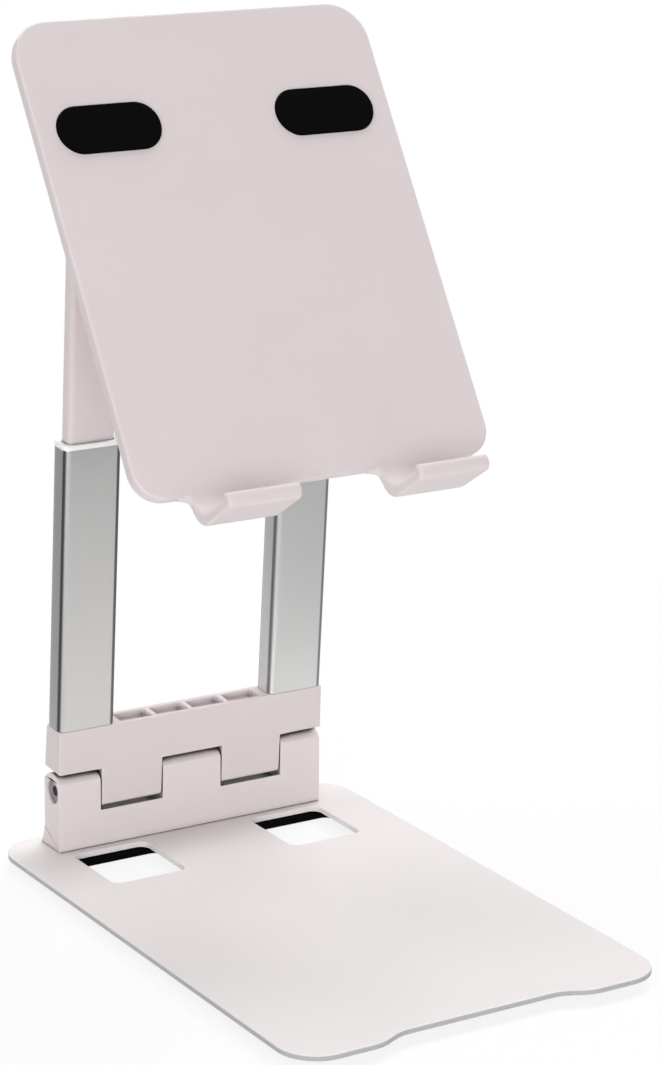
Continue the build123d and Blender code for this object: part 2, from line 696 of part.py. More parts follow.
with BuildPart() as phone_plate:
    with BuildSketch(plate_face(back_face)) as plate_shape:
        with Locations((0, plate_middle)):
            Rectangle(phone_width, phone_length)
        fillet(plate_shape.vertices().group_by(Axis.Y)[-1], phone_corner)
        fillet(plate_shape.vertices().group_by(Axis.Y)[0], lower_corner)
        with Locations((-hook_x, plate_bottom), (hook_x, plate_bottom)):
            Rectangle(hook_width, 2 * hook_fillet)
        roots = plate_shape.vertices().filter_by(lambda v: abs(v.Y - plate_bottom) < seat_clearance)
        inner_roots = roots.filter_by(lambda v: abs(v.X) < hook_x + hook_width / 2 + seat_clearance)
        fillet(inner_roots, hook_fillet)
    extrude(amount=phone_thickness)
    for end in (-1, 0):
        face = phone_plate.faces().sort_by(plate_normal)[end]
        fillet(face.outer_wire().edges(), phone_edge_round)
    with BuildSketch(plate_side(-phone_width / 2)):
        with BuildLine():
            CenterArc((-back_face, cove_bottom), hook_cove, 90, 90)
            Line((-neck_back, cove_bottom), (-neck_back, heel_top))
            Line((-neck_back, heel_top), (-back_face, heel_top))
            Line((-back_face, heel_top), (-back_face, plate_bottom))
        make_face()
    extrude(amount=phone_width, mode=Mode.SUBTRACT)
    add(hooks.part)
    with BuildSketch(plate_face(front_face)):
        with Locations((-pad_x, pad_above_axis), (pad_x, pad_above_axis)):
            SlotOverall(pad_length + 2 * pad_clearance, pad_width + 2 * pad_clearance)
    extrude(amount=-pad_sink, mode=Mode.SUBTRACT)
    with BuildSketch(plate_face(front_face - pad_sink)):
        with Locations(bracket_screw_places):
            Circle(bracket_screw_head + seat_clearance)
    extrude(amount=-bracket_screw_head_height, mode=Mode.SUBTRACT)
    with BuildSketch(plate_face(front_face)):
        with Locations(bracket_screw_places):
            Circle(bracket_screw_radius + screw_clearance)
    extrude(amount=-phone_thickness, mode=Mode.SUBTRACT)
phone_plate.part.label = "phone_plate"
export_step(phone_plate.part, "parts/phone_plate.step")

# ---------------------------------------------------------------- pads, bracket and bracket screws

for side, sign in SIDES:
    with BuildPart() as pad:
        with BuildSketch(plate_face(front_face - pad_sink)):
            with Locations((sign * pad_x, pad_above_axis)):
                SlotOverall(pad_length, pad_width)
        extrude(amount=pad_thickness)
        front_edges = pad.faces().sort_by(plate_normal)[-1].edges()
        fillet(front_edges, (pad_thickness - pad_sink) / 2)
    pad.part.label = f"{side}_pad"
    export_step(pad.part, f"parts/{side}_pad.step")

with BuildPart() as hinge_bracket:
    with BuildSketch(plate_face(tilt_reach)):
        with Locations((0, pad_above_axis)):
            RectangleRounded(bracket_width, bracket_height, bracket_corner)
    extrude(amount=bracket_thickness)
    for side, sign in SIDES:
        with BuildSketch(plate_side(sign * tilt_knuckle_x - tilt_side_knuckle / 2)):
            Circle(tilt_radius)
            Rectangle(tilt_reach, 2 * tilt_radius, align=(Align.MAX, Align.CENTER))
        extrude(amount=tilt_side_knuckle)
    with BuildSketch(plate_side(-tilt_end_x)):
        Circle(tilt_bore)
    extrude(amount=bridge_width, mode=Mode.SUBTRACT)
    with BuildSketch(plate_face(tilt_reach)):
        with Locations(bracket_screw_places):
            Circle(bracket_screw_radius + screw_clearance)
    extrude(amount=bracket_thickness, mode=Mode.SUBTRACT)
hinge_bracket.part.label = "hinge_bracket"
export_step(hinge_bracket.part, "parts/hinge_bracket.step")

with BuildPart() as bracket_screws:
    with BuildSketch(plate_face(front_face - pad_sink - bracket_screw_head_height)):
        with Locations(bracket_screw_places):
            Circle(bracket_screw_head)
    extrude(amount=bracket_screw_head_height)
    with BuildSketch(plate_face(tilt_reach)):
        with Locations(bracket_screw_places):
            Circle(bracket_screw_radius)
    extrude(amount=front_face - pad_sink - bracket_screw_head_height - tilt_reach)
bracket_screws.part.label = "bracket_screws"
export_step(bracket_screws.part, "parts/bracket_screws.step")
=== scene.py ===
import json
import math

import bmesh
import bpy
import numpy as np
from bpy.props import FloatProperty, FloatVectorProperty, PointerProperty
from mathutils import Matrix, Vector
from mathutils.geometry import tessellate_polygon


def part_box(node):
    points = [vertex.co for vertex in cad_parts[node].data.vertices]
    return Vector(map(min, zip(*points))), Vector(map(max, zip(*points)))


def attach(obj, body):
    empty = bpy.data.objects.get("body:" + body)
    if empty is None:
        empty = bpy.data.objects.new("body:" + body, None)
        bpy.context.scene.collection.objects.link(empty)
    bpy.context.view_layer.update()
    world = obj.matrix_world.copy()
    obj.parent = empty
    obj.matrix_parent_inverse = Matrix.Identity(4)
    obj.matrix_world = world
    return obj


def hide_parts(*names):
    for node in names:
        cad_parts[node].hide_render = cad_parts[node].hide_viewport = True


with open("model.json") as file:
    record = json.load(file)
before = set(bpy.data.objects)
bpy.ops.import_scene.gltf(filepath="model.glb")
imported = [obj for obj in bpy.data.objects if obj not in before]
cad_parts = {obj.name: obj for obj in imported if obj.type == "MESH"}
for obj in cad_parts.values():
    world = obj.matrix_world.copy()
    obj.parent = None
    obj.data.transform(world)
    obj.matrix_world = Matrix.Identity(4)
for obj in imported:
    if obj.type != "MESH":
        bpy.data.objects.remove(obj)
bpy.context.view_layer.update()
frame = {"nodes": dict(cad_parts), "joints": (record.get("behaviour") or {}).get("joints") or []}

bl_info = {
    "name": "Folding phone stand",
    "version": (1, 0, 0),
    "blender": (4, 5, 0),
    "location": "3D View > Sidebar > Phone stand",
    "description": "Builds the visible pieces and finishes of a folding phone stand",
    "category": "Object",
}

JOINTS = {joint["name"]: joint for joint in frame["joints"]}
MM = 0.001
X_AXIS = np.array((1.0, 0.0, 0.0))


def box(node):
    """Lowest and highest corner of a CAD node, as arrays."""
    low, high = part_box(node)
    return np.array(low), np.array(high)


# ---- places read from the frame


class Place:
    """A local frame: an origin and three unit axes, all in the row frame."""

    def __init__(self, origin, first, second, third):
        self.origin = np.array(origin, float)
        self.axes = np.array((first, second, third), float)

    def put(self, points):
        """Row frame points = origin + local coordinates times the three axes."""
        return self.origin + np.asarray(points, float) @ self.axes


FOLD_AXIS = np.array(JOINTS["arm_fold"]["pos_m"])
TILT_AXIS = np.array(JOINTS["plate_tilt"]["pos_m"])
ARM_UP = np.array(JOINTS["height_slide"]["axis"])
ARM_BACK = np.array((0.0, ARM_UP[2], -ARM_UP[1]))
PLATE_LEAN = math.radians(32.5)
PLATE_UP = np.array((0.0, math.sin(PLATE_LEAN), math.cos(PLATE_LEAN)))
PLATE_BACK = np.array((0.0, math.cos(PLATE_LEAN), -math.sin(PLATE_LEAN)))

BASE_LOW, BASE_HIGH = box("base_plate")
MAT_LOW, MAT_HIGH = box("base_mat")
BLOCK_END = box("riser_block")[1][0]
BRIDGE_END = box("leg_bridge")[1][0]
PLATE_END = box("phone_plate")[1][0]
SLEEVE_X, PAD_X = ((box(node)[0][0] + box(node)[1][0]) / 2 for node in ("right_sleeve", "right_pad"))

BASE = Place((0, 0, BASE_LOW[2]), X_AXIS, (0, 1, 0), (0, 0, 1))
MAT = Place((0, 0, MAT_LOW[2]), X_AXIS, (0, 1, 0), (0, 0, 1))
RISER = Place((0, FOLD_AXIS[1], BASE_HIGH[2]), (0, 1, 0), (0, 0, 1), X_AXIS)
ARM_SIDE = Place(FOLD_AXIS, ARM_BACK, ARM_UP, X_AXIS)
ARM_SECTION = Place(FOLD_AXIS, X_AXIS, ARM_BACK, ARM_UP)
BRIDGE_SIDE = Place(TILT_AXIS, ARM_BACK, ARM_UP, X_AXIS)
PLATE_FACE = Place(TILT_AXIS, X_AXIS, PLATE_UP, -PLATE_BACK)
PLATE_SIDE = Place(TILT_AXIS, PLATE_BACK, PLATE_UP, X_AXIS)

# ---- fixed sizes, in metres

# Base plate and mat
CUTOUT_X = 20.5 * MM
CUTOUT_Y = 38.4 * MM
CUTOUT_WIDTH = 16.5 * MM
CUTOUT_LENGTH = 18.0 * MM
MAT_CUTOUT_WIDTH = 22.9 * MM
MAT_CORNER = 5.0 * MM
SCREW_X = (-24.0 * MM, -9.5 * MM, 9.5 * MM, 24.0 * MM)
SCREW_HOLE = 1.3 * MM
SCREW_POCKET = 2.8 * MM
BASE_LOWER_EDGE = 0.15 * MM
CUTOUT_EDGE = 0.2 * MM
MAT_HOLE_EDGE = 0.15 * MM

# Fold hinge and its two blocks
KNUCKLE = 3.3 * MM
CROWN = 3.85 * MM
POCKET_REACH = 4.55 * MM
POCKET_RADIUS = 5.633 * MM
KNUCKLE_FOOT = 3.8 * MM
FOOT_ROUND = 0.9 * MM
KNUCKLE_INNER = 6.8 * MM
KNUCKLE_OUTER = 21.1 * MM
KNUCKLE_GAP = 0.22 * MM
FOOT_FLARE = 1.7 * MM
FLARE_HEIGHT = 6.0 * MM
FOLD_RECESS_RADIUS = 2.55 * MM
FOLD_RECESS_DEPTH = 3.0 * MM
YOKE_THIN = 2.9 * MM
BAR_WALL = 1.0 * MM
BAR_POCKET_DEPTH = 1.6 * MM
BAR_POCKET_WIDTH = 7.2 * MM
BAR_POCKET_PITCH = 8.4 * MM
BAR_POCKETS = 4
LOWER_BEVEL_SHARE = 0.7
YOKE_BEVEL_SHARE = 0.75
SHOULDER = 13.7 * MM

# Sleeves, collars and legs; the collar's top is (share of the way in, height in mm)
SLEEVE_WIDTH = 12.6 * MM
SLEEVE_THICKNESS = 5.8 * MM
SLEEVE_EDGE = 0.12 * MM
SLEEVE_TOP = 72.8 * MM
COLLAR_SKIRT = 5.0 * MM
COLLAR_INSET = 1.2 * MM
COLLAR_TOP = ((0.0, 0.65), (0.1, 0.88), (0.25, 1.0), (0.8, 1.0), (1.0, 0.85))
LEG_CLEARANCE = 0.1 * MM
LEG_TOP_EDGE = 0.1 * MM
LEG_FOOT = 63.5 * MM

# Tilt hinge, bridge and bracket
TILT_KNUCKLE = 3.1 * MM
TILT_REACH = 3.7 * MM
TILT_RECESS = 2.3 * MM
BRIDGE_HEIGHT = 6.2 * MM
BRIDGE_FOOT = 2.2 * MM
BRIDGE_INNER = 5.0 * MM
BRIDGE_OUTER = 14.8 * MM
BRIDGE_BEVEL_SHARE = 0.8
BRACKET_WIDTH = 68.0 * MM
BRACKET_HEIGHT = 15.0 * MM
BRACKET_CORNER = 3.0 * MM
BRACKET_THICKNESS = 1.3 * MM
BRACKET_EDGE = 0.25 * MM
MOVING_KNUCKLE_WIDTH = 9.0 * MM
MOVING_KNUCKLE_ROOT = 0.1 * MM
MOVING_KNUCKLE_EDGE = 0.2 * MM
MOVING_KNUCKLE_STARTS = (-14.4 * MM, 5.4 * MM)

# Phone plate, pads and hooks
PLATE_BACK_FACE = 5.0 * MM
PLATE_FRONT_FACE = 7.8 * MM
PLATE_TOP = 25.6 * MM
PLATE_BOTTOM = -70.2 * MM
LOWER_CORNER = 6.0 * MM
PAD_LEVEL = 3.0 * MM
PAD_SINK = 0.5 * MM
PAD_THICKNESS = 1.1 * MM
PAD_CLEARANCE = 0.2 * MM
PAD_EDGE = 0.35 * MM
PAD_SEAT_EDGE = 0.12 * MM
HOOK_X = 20.5 * MM
HOOK_START = 2.5 * MM
HOOK_NECK = 1.2 * MM
HOOK_NOSE = 1.5 * MM
HOOK_BEND = 4.8 * MM
HOOK_HEEL = 4.0 * MM
HOOK_COVE = 1.6 * MM
HOOK_NOOK = 0.4 * MM
HOOK_EDGE_SHARE = 0.45

# How far a surface hides in its neighbour, and what a round end keeps from its own middle
SKIN = 0.02 * MM
SEAM = 0.001 * MM

# Edge roundings that several pieces share
FINE_EDGE = 0.05 * MM
SOFT_EDGE = 0.3 * MM

SIDES = (("left", -1), ("right", 1))


def limited(kind, **limits):
    """What makes a property of that kind from its name, description and value."""
    return lambda name, description, value: kind(name=name, description=description, default=value, **limits)


length = limited(FloatProperty, min=0.1 * MM, max=200 * MM, precision=5, unit="LENGTH", subtype="DISTANCE")
colour = limited(FloatVectorProperty, size=3, min=0.0, max=1.0, subtype="COLOR")
amount = limited(FloatProperty, min=0.0, max=1.0, subtype="FACTOR")


class StandSizes(bpy.types.PropertyGroup):
    """Sizes of the visible pieces that a user may change."""

    base_corner: length("Base corner", "Corner radius of the base plate", 8 * MM)
    base_edge: length("Base edge", "Rounding of the base plate's upper edge", 0.35 * MM)
    notch_depth: length("Notch depth", "Depth of the finger notch in the front edge", 2.6 * MM)
    notch_mouth: length("Notch mouth", "Width of the notch at the front edge", 45.6 * MM)
    notch_floor: length("Notch floor", "Width of the notch at its floor", 34.8 * MM)
    cutout_corner: length("Cut-out corner", "Corner radius of the cut-outs in the base", 2 * MM)
    block_edge: length("Block edge", "Rounding of the hinge blocks' edges", 0.4 * MM)
    sleeve_corner: length("Sleeve corner", "Corner radius of the sleeves", 1.5 * MM)
    sleeve_wall: length("Sleeve wall", "Wall thickness of the sleeves", 0.5 * MM)
    leg_width: length("Leg width", "Width of the sliding legs", 10.2 * MM)
    leg_thickness: length("Leg thickness", "Thickness of the sliding legs", 3.8 * MM)
    leg_corner: length("Leg corner", "Corner radius of the legs", 1.1 * MM)
    plate_corner: length("Plate corner", "Corner radius of the phone plate", 8 * MM)
    plate_edge: length("Plate edge", "Rounding of the phone plate's edges", 0.6 * MM)
    hook_width: length("Hook width", "Width of each hook", 15.6 * MM)
    hook_depth: length("Hook depth", "How far each hook stands out of the plate's face", 13.1 * MM)
    hook_drop: length("Hook drop", "How far each hook hangs below the plate's edge", 6.7 * MM)
    hook_floor: length("Hook floor", "Thickness of the hook's ledge and lip", 1.9 * MM)
    hook_lip: length("Hook lip", "Height of the lip above the ledge", 1.1 * MM)
    hook_root: length("Hook root", "Fillet between each hook and the plate's lower edge", 2.2 * MM)
    hook_corner: length("Hook corner", "Corner radius at the front of each hook", 1.0 * MM)
    hook_edge: length("Hook edge", "Rounding of the hooks' edges", 0.8 * MM)
    pad_length: length("Pad length", "Length of the soft pads", 21.8 * MM)
    pad_width: length("Pad width", "Width of the soft pads", 9.5 * MM)


class StandFinishes(bpy.types.PropertyGroup):
    """Colours and gloss of the finishes."""

    plastic: colour("Plastic", "Colour of the moulded pieces", (0.66, 0.59, 0.595))
    # Painted light: the lower block is the same plastic, given a lighter colour to make up for the shade
    # that the plate casts on it.
    block: colour("Lower block", "Colour of the lower hinge block", (0.71, 0.64, 0.64))
    plastic_rough: amount("Plastic roughness", "Roughness of the moulded pieces", 0.42)
    paint: colour("Base paint", "Colour of the painted base plate", (0.79, 0.745, 0.74))
    paint_rough: amount("Paint roughness", "Roughness of the painted base plate", 0.3)
    # Painted shade: a darker colour for the base plate's upright outer edge, where less light falls.
    paint_edge: colour("Paint edge", "Colour of the base plate's cut edge", (0.42, 0.42, 0.42))
    aluminium: colour("Aluminium", "Colour of the anodised sleeves", (0.74, 0.742, 0.735))
    aluminium_rough: amount("Aluminium roughness", "Roughness of the sleeves", 0.34)
    rubber: colour("Rubber", "Colour of the pads and the mat", (0.0014, 0.0011, 0.0013))
    steel: colour("Steel", "Colour of the screws and pins", (0.42, 0.42, 0.43))
    collar: colour("Collar", "Colour of the collars", (0.86, 0.86, 0.86))
    floor: colour("Floor", "Colour of the studio floor", (0.9, 0.9, 0.9))


# ---- surfaces


def rounded_loop(corners, radii, steps=8):
    """A closed outline with round corners, and its outward normals, for corners given anticlockwise.

    With unit vectors a and b along the two sides of a corner c and a half angle h between them, the
    corner becomes the arc of radius r about c + r (a + b) / (|a + b| sin h). Its spokes turn evenly
    from one tangent point to the other, and the outward normal is the spoke, reversed where the
    outline turns inwards.
    """
    c = np.asarray(corners, float)
    r = np.broadcast_to(np.asarray(radii, float), (len(c),))[:, None]
    a = np.roll(c, 1, 0) - c
    b = np.roll(c, -1, 0) - c
    a /= np.linalg.norm(a, axis=1, keepdims=True)
    b /= np.linalg.norm(b, axis=1, keepdims=True)
    half = np.arccos(np.clip((a * b).sum(1, keepdims=True), -1, 1)) / 2
    middle = a + b
    middle /= np.linalg.norm(middle, axis=1, keepdims=True)
    centre = c + middle * r / np.sin(half)
    reach = r / np.tan(half)
    first, last = c + a * reach - centre, c + b * reach - centre
    turn = (math.pi - 2 * half)[:, None, :]
    k = np.linspace(0, 1, steps + 1)[None, :, None]
    spokes = (np.sin((1 - k) * turn) * first[:, None] + np.sin(k * turn) * last[:, None]) / np.sin(turn)
    side = np.sign(a[:, 1] * b[:, 0] - a[:, 0] * b[:, 1])[:, None, None]
    points = centre[:, None] + spokes
    normals = spokes / r[:, None] * side
    return points.reshape(-1, 2), normals.reshape(-1, 2)


def rectangle(width, height, centre=(0, 0)):
    """Corners of a rectangle, anticlockwise."""
    half = np.array((width, height)) / 2
    return np.array(centre) + half * np.array(((-1, -1), (1, -1), (1, 1), (-1, 1)))


def circle(radius, centre=(0, 0), steps=32):
    """Points (cos, sin) times the radius about the centre, and their outward normals."""
    angle = np.arange(steps) * 2 * math.pi / steps
    spokes = np.stack((np.cos(angle), np.sin(angle)), 1)
    return np.array(centre) + radius * spokes, spokes


def edge_profile(height, low, high, steps=5):
    """(inset, level) up the side of a slab: a quarter circle of radius low, the wall, one of radius high."""
    q = np.linspace(0, math.pi / 2, steps + 1)
    inset = np.concatenate((low * (1 - np.sin(q)), high * (1 - np.cos(q))))
    level = np.concatenate((low * (1 - np.cos(q)), height - high * (1 - np.sin(q))))
    return inset, level


def carried(loop, profile):
    """A profile carried round an outline: P(t, s) = outline(s) - inset(t) normal(s), at level(t)."""
    points, normals = loop
    inset, level = profile
    flat = points[None] - inset[:, None, None] * normals[None]
    levels = np.broadcast_to(level[:, None, None], flat.shape[:2] + (1,))
    return np.concatenate((flat, levels), 2)


class Shell:
    """Grids and caps gathered into one closed mesh."""

    def __init__(self, place):
        self.place = place
        self.points = []
        self.faces = []
        self.kept = []
        self.total = 0

    def add(self, points, faces, keep=False):
        """Add local points and the faces that join them; a kept face isn't merged with its neighbours."""
        points = np.asarray(points, float).reshape(-1, 3)
        self.points.append(points)
        faces = [(np.asarray(face) + self.total).tolist() for face in faces]
        self.faces.extend(faces)
        self.kept.extend([int(keep)] * len(faces))
        self.total += len(points)

    def grid(self, rings, wrap=False):
        """Quads between rings of points, each ring closed; wrap joins the last ring to the first."""
        count, size = rings.shape[:2]
        row = np.arange(count if wrap else count - 1)[:, None]
        col = np.arange(size)[None, :]
        up, along = (row + 1) % count, (col + 1) % size
        quads = np.stack((row * size + col, row * size + along, up * size + along, up * size + col), -1)
        self.add(rings, quads.reshape(-1, 4))
        return rings

    def cap(self, *rings):
        """A flat face inside the first ring and outside the others, cut into triangles if it has holes."""
        if len(rings) == 1:
            self.add(rings[0], [np.arange(len(rings[0]))])
            return
        self.add(np.concatenate(rings), tessellate_polygon([(ring / MM).tolist() for ring in rings]))

    def ring_cap(self, outer, hole):
        """A flat face between an outline and a round hole, as two halves that meet on both sides of it.

        Both rings are taken anticlockwise. The cuts run from the hole's first point and from the one
        opposite it to the outline's nearest points.
        """
        turn = outer[:, 0] * np.roll(outer[:, 1], -1) - np.roll(outer[:, 0], -1) * outer[:, 1]
        if turn.sum() < 0:
            outer = outer[::-1]
        count, half = len(outer), len(hole) // 2
        near = [int(np.linalg.norm(outer - hole[k], axis=1).argmin()) for k in (0, half)]
        for k, (start, end) in enumerate((near, near[::-1])):
            side = (start + np.arange((end - start) % count + 1)) % count
            back = (half * (1 + k) - np.arange(half + 1)) % len(hole)
            self.add(np.concatenate((outer[side], hole[back])), [np.arange(len(side) + len(back))], True)

    def mesh(self, name):
        """One mesh in the row frame, its doubles merged and its faces turned outwards."""
        mesh = bpy.data.meshes.new(name)
        mesh.from_pydata(self.place.put(np.concatenate(self.points)).tolist(), [], self.faces)
        mesh.polygons.foreach_set("material_index", self.kept)
        work = bmesh.new()
        work.from_mesh(mesh)
        bmesh.ops.remove_doubles(work, verts=work.verts, dist=0.002 * MM)
        bmesh.ops.dissolve_degenerate(work, edges=work.edges, dist=0.001 * MM)
        free = [edge for edge in work.edges if not any(face.material_index for face in edge.link_faces)]
        corners = list({corner for edge in free for corner in edge.verts})
        bmesh.ops.dissolve_limit(work, angle_limit=math.radians(0.3), verts=corners, edges=free)
        for face in work.faces:
            face.material_index = 0
        bmesh.ops.recalc_face_normals(work, faces=work.faces)
        work.to_mesh(mesh)
        work.free()
        return mesh


def slab(shell, loop, thickness, edges, level=0.0, steps=5, through=(), recesses=()):
    """A plate: its edge profile carried round the outline, and two flat faces.

    edges holds the rounding of the low and the high edge, and level is the low face's. through holds
    (outline, edge radius) of holes. recesses holds (outline, depth, edge radius) of blind pockets in
    the high face.
    """
    inset, levels = edge_profile(thickness, *edges, steps)
    rings = shell.grid(carried(loop, (inset, levels + level)))
    low_rings, high_rings = [rings[0]], [rings[-1]]
    for (points, normals), edge in through:
        inset, levels = edge_profile(thickness, edge, edge)
        inner = shell.grid(carried((points, -normals), (inset, levels + level)))
        low_rings.append(inner[0])
        high_rings.append(inner[-1])
    for (points, normals), depth, edge in recesses:
        inset, levels = edge_profile(depth, SKIN, edge)
        inner = shell.grid(carried((points, -normals), (inset, levels + level + thickness - depth)))
        high_rings.append(inner[-1])
        shell.cap(inner[0])
    shell.cap(*low_rings)
    shell.cap(*high_rings)


def stacked(rows):
    """Rings in space from (outline, level) rows."""
    return np.stack([np.concatenate((ring, np.full((len(ring), 1), level)), 1) for ring, level in rows])


def stepped_block(shell, stations, outlines, end_recess=None):
    """Outlines carried along X, with a step wherever two neighbours differ.

    Interval i keeps outlines[i] from stations[i] to stations[i + 1]; at a shared station both outlines
    make a ring, and the quads between those rings are the step's flat side. end_recess is the
    (centre, radius, depth) of a round pocket in both ends.
    """
    spans = zip(stations, stations[1:], outlines)
    rings = shell.grid(stacked([(outline, at) for start, end, outline in spans for at in (start, end)]))
    for ring, inward in ((rings[0], 1), (rings[-1], -1)):
        if end_recess is None:
            shell.cap(ring)
            continue
        centre, radius, depth = end_recess
        rim, _ = circle(radius, centre)
        pocket = shell.grid(stacked(((rim, ring[0, 2]), (rim, ring[0, 2] + inward * depth))))
        shell.ring_cap(ring, pocket[0])
        shell.cap(pocket[1])


def arc(centre, radius, start, end, steps=8):
    """Points of an arc from one angle to another, in degrees."""
    angle = np.radians(np.linspace(start, end, steps + 1))
    return np.array(centre) + radius * np.stack((np.cos(angle), np.sin(angle)), 1)


# ---- finishing a piece


def linked(name, data):
    """A new object for that data, in the scene."""
    item = bpy.data.objects.new(name, data)
    bpy.context.scene.collection.objects.link(item)
    return item


def finish_piece(shell, name, look, body, node=None, bevel=0.0, sharp=35.0):
    """Make the shell's object, shade it, and let it ride on its body in the CAD node's place."""
    mesh = shell.mesh(name)
    piece = linked(name, mesh)
    mesh.materials.append(finish_of(look))
    mesh.shade_smooth()
    if bevel:
        rounding = piece.modifiers.new("Rounded edges", "BEVEL")
        rounding.width = bevel
        rounding.segments = 3
        rounding.limit_method = "ANGLE"
        rounding.angle_limit = math.radians(sharp)
        rounding.use_clamp_overlap = True
    else:
        mesh.set_sharp_from_angle(angle=math.radians(sharp))
    shading = piece.modifiers.new("Even shading", "WEIGHTED_NORMAL")
    shading.keep_sharp = True
    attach(piece, body)
    if node:
        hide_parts(node)


# ---- materials


class Nodes:
    """A short hand for adding and joining shader nodes in one tree."""

    def __init__(self, tree):
        self.tree = tree

    def feed(self, socket, value):
        """Join a socket to another, or set it to a plain value."""
        if isinstance(value, bpy.types.NodeSocket):
            self.tree.links.new(value, socket)
        else:
            socket.default_value = value

    def add(self, kind, values=None, **settings):
        """A node with its own settings, and its input sockets set or joined."""
        node = self.tree.nodes.new(kind)
        for name, value in settings.items():
            setattr(node, name, value)
        for name, value in (values or {}).items():
            self.feed(node.inputs[name], value)
        return node

    def maths(self, operation, first, second=0.0, clamp=False):
        """The result of a Math node, held between 0 and 1 where clamp is set."""
        values = {0: first, 1: second}
        return self.add("ShaderNodeMath", values, operation=operation, use_clamp=clamp).outputs[0]

    def size(self, value):
        """A number without its sign."""
        return self.maths("ABSOLUTE", value)

    def measure(self, operation, first, second):
        """The number that a Vector Math node gives."""
        return self.add("ShaderNodeVectorMath", {0: first, 1: second}, operation=operation).outputs["Value"]

    def ramp(self, value, start, end, low=0.0, high=1.0):
        """Low before start, high after end, and a straight line between."""
        values = {"Value": value, "From Min": start, "From Max": end, "To Min": low, "To Max": high}
        return self.add("ShaderNodeMapRange", values).outputs[0]

    def mix(self, factor, first, second):
        """The result of a colour mix."""
        node = self.add("ShaderNodeMix", {"Factor": factor}, data_type="RGBA")
        for name, value in (("A", first), ("B", second)):
            socket = next(s for s in node.inputs if s.name == name and s.type == "RGBA")
            self.feed(socket, value if isinstance(value, bpy.types.NodeSocket) else (*value[:3], 1.0))
        return next(s for s in node.outputs if s.type == "RGBA")

    def where(self, label="Object"):
        """One of the surface's own coordinates."""
        return self.add("ShaderNodeTexCoord").outputs[label]

    def parts(self, vector):
        """The X, Y and Z of a vector."""
        return self.add("ShaderNodeSeparateXYZ", {0: vector}).outputs

    def rays(self):
        """Whether the ray comes from the camera, and whether it is a mirrored or a passing one."""
        path = self.add("ShaderNodeLightPath").outputs
        glossy, passing = path["Is Glossy Ray"], path["Is Transmission Ray"]
        return path["Is Camera Ray"], self.maths("MAXIMUM", glossy, passing)

    def blend(self, share, first, second):
        """Two shaders in one, with that share of the second."""
        return self.add("ShaderNodeMixShader", {0: share, 1: first, 2: second}).outputs[0]

    def output(self, kind, first, second, share):
        """Send the blend of two shaders to the tree's output node of that kind."""
        end = next(n for n in self.tree.nodes if n.type == kind)
        self.feed(end.inputs["Surface"], self.blend(share, first, second))


def effect_group(name, defaults, outputs):
    """An empty node group with its sockets; returns the helper, its inputs and its results."""
    tree = bpy.data.node_groups.new(name, "ShaderNodeTree")
    kinds = {"Colour": "NodeSocketColor"}
    for label, value in defaults.items():
        kind = kinds.get(label, "NodeSocketFloat")
        tree.interface.new_socket(label, in_out="INPUT", socket_type=kind).default_value = value
    for label in outputs:
        kind = kinds.get(label, "NodeSocketFloat")
        tree.interface.new_socket(label, in_out="OUTPUT", socket_type=kind)
    nodes = Nodes(tree)
    source = nodes.add("NodeGroupInput").outputs
    return nodes, source, nodes.add("NodeGroupOutput").inputs


def cloudy_tone():
    """Group: a colour that drifts a little over the surface, from noise on Object coordinates."""
    defaults = {"Colour": (0.8, 0.8, 0.8, 1), "Drift": 0.03, "Scale": 30.0}
    nodes, source, result = effect_group("cloudy_tone", defaults, ("Colour", "Mask"))
    noise = {"Vector": nodes.where(), "Scale": source["Scale"], "Detail": 3.0}
    mask = nodes.add("ShaderNodeTexNoise", noise).outputs["Fac"]
    swing = nodes.maths("MULTIPLY", nodes.maths("SUBTRACT", mask, 0.5), source["Drift"])
    level = nodes.maths("ADD", swing, 1.0)
    toned = nodes.add("ShaderNodeVectorMath", {0: source["Colour"], "Scale": level}, operation="SCALE")
    nodes.feed(result["Colour"], toned.outputs[0])
    nodes.feed(result["Mask"], mask)
    return nodes.tree


def moulded_grain():
    """Group: a fine skin, even noise over soft pits, as a height from 0 to 1."""
    nodes, source, result = effect_group("moulded_grain", {"Scale": 1500.0, "Pits": 0.4}, ("Height",))
    place = nodes.where()
    noise = nodes.add("ShaderNodeTexNoise", {"Vector": place, "Scale": source["Scale"], "Detail": 2.0})
    cells = nodes.add("ShaderNodeTexVoronoi", {"Vector": place, "Scale": source["Scale"]})
    pits = nodes.maths("MULTIPLY", cells.outputs["Distance"], source["Pits"])
    nodes.feed(result["Height"], nodes.maths("ADD", noise.outputs["Fac"], pits))
    return nodes.tree


def edge_mask():
    """Group: 1 on convex and concave edges, 0 on flats, from a rounded normal against the true one."""
    nodes, source, result = effect_group("edge_mask", {"Radius": 0.6 * MM, "Strength": 2.0}, ("Mask",))
    rounded = nodes.add("ShaderNodeBevel", {"Radius": source["Radius"]}, samples=4).outputs[0]
    true_normal = nodes.add("ShaderNodeNewGeometry").outputs["Normal"]
    gap = nodes.maths("SUBTRACT", 1.0, nodes.measure("DOT_PRODUCT", rounded, true_normal))
    nodes.feed(result["Mask"], nodes.maths("MULTIPLY", gap, source["Strength"], True))
    return nodes.tree


def gap_shade_mask():
    """Group: where shade is painted, 1 deep in a narrow gap, 0 on an open surface, from how much is shut off
    within a distance.

    A surface of which less than the open share is shut off, as in a square corner, stays 0.
    """
    open_share = 0.55
    nodes, source, result = effect_group("gap_shade_mask", {"Distance": 1.2 * MM, "Strength": 2.0}, ("Mask",))
    opening = nodes.add("ShaderNodeAmbientOcclusion", {"Distance": source["Distance"]}, samples=6)
    shut = nodes.maths("SUBTRACT", nodes.maths("SUBTRACT", 1.0, opening.outputs["AO"]), open_share)
    nodes.feed(result["Mask"], nodes.maths("MULTIPLY", shut, source["Strength"], True))
    return nodes.tree


EFFECTS = {effect.__name__: effect for effect in (cloudy_tone, moulded_grain, edge_mask, gap_shade_mask)}


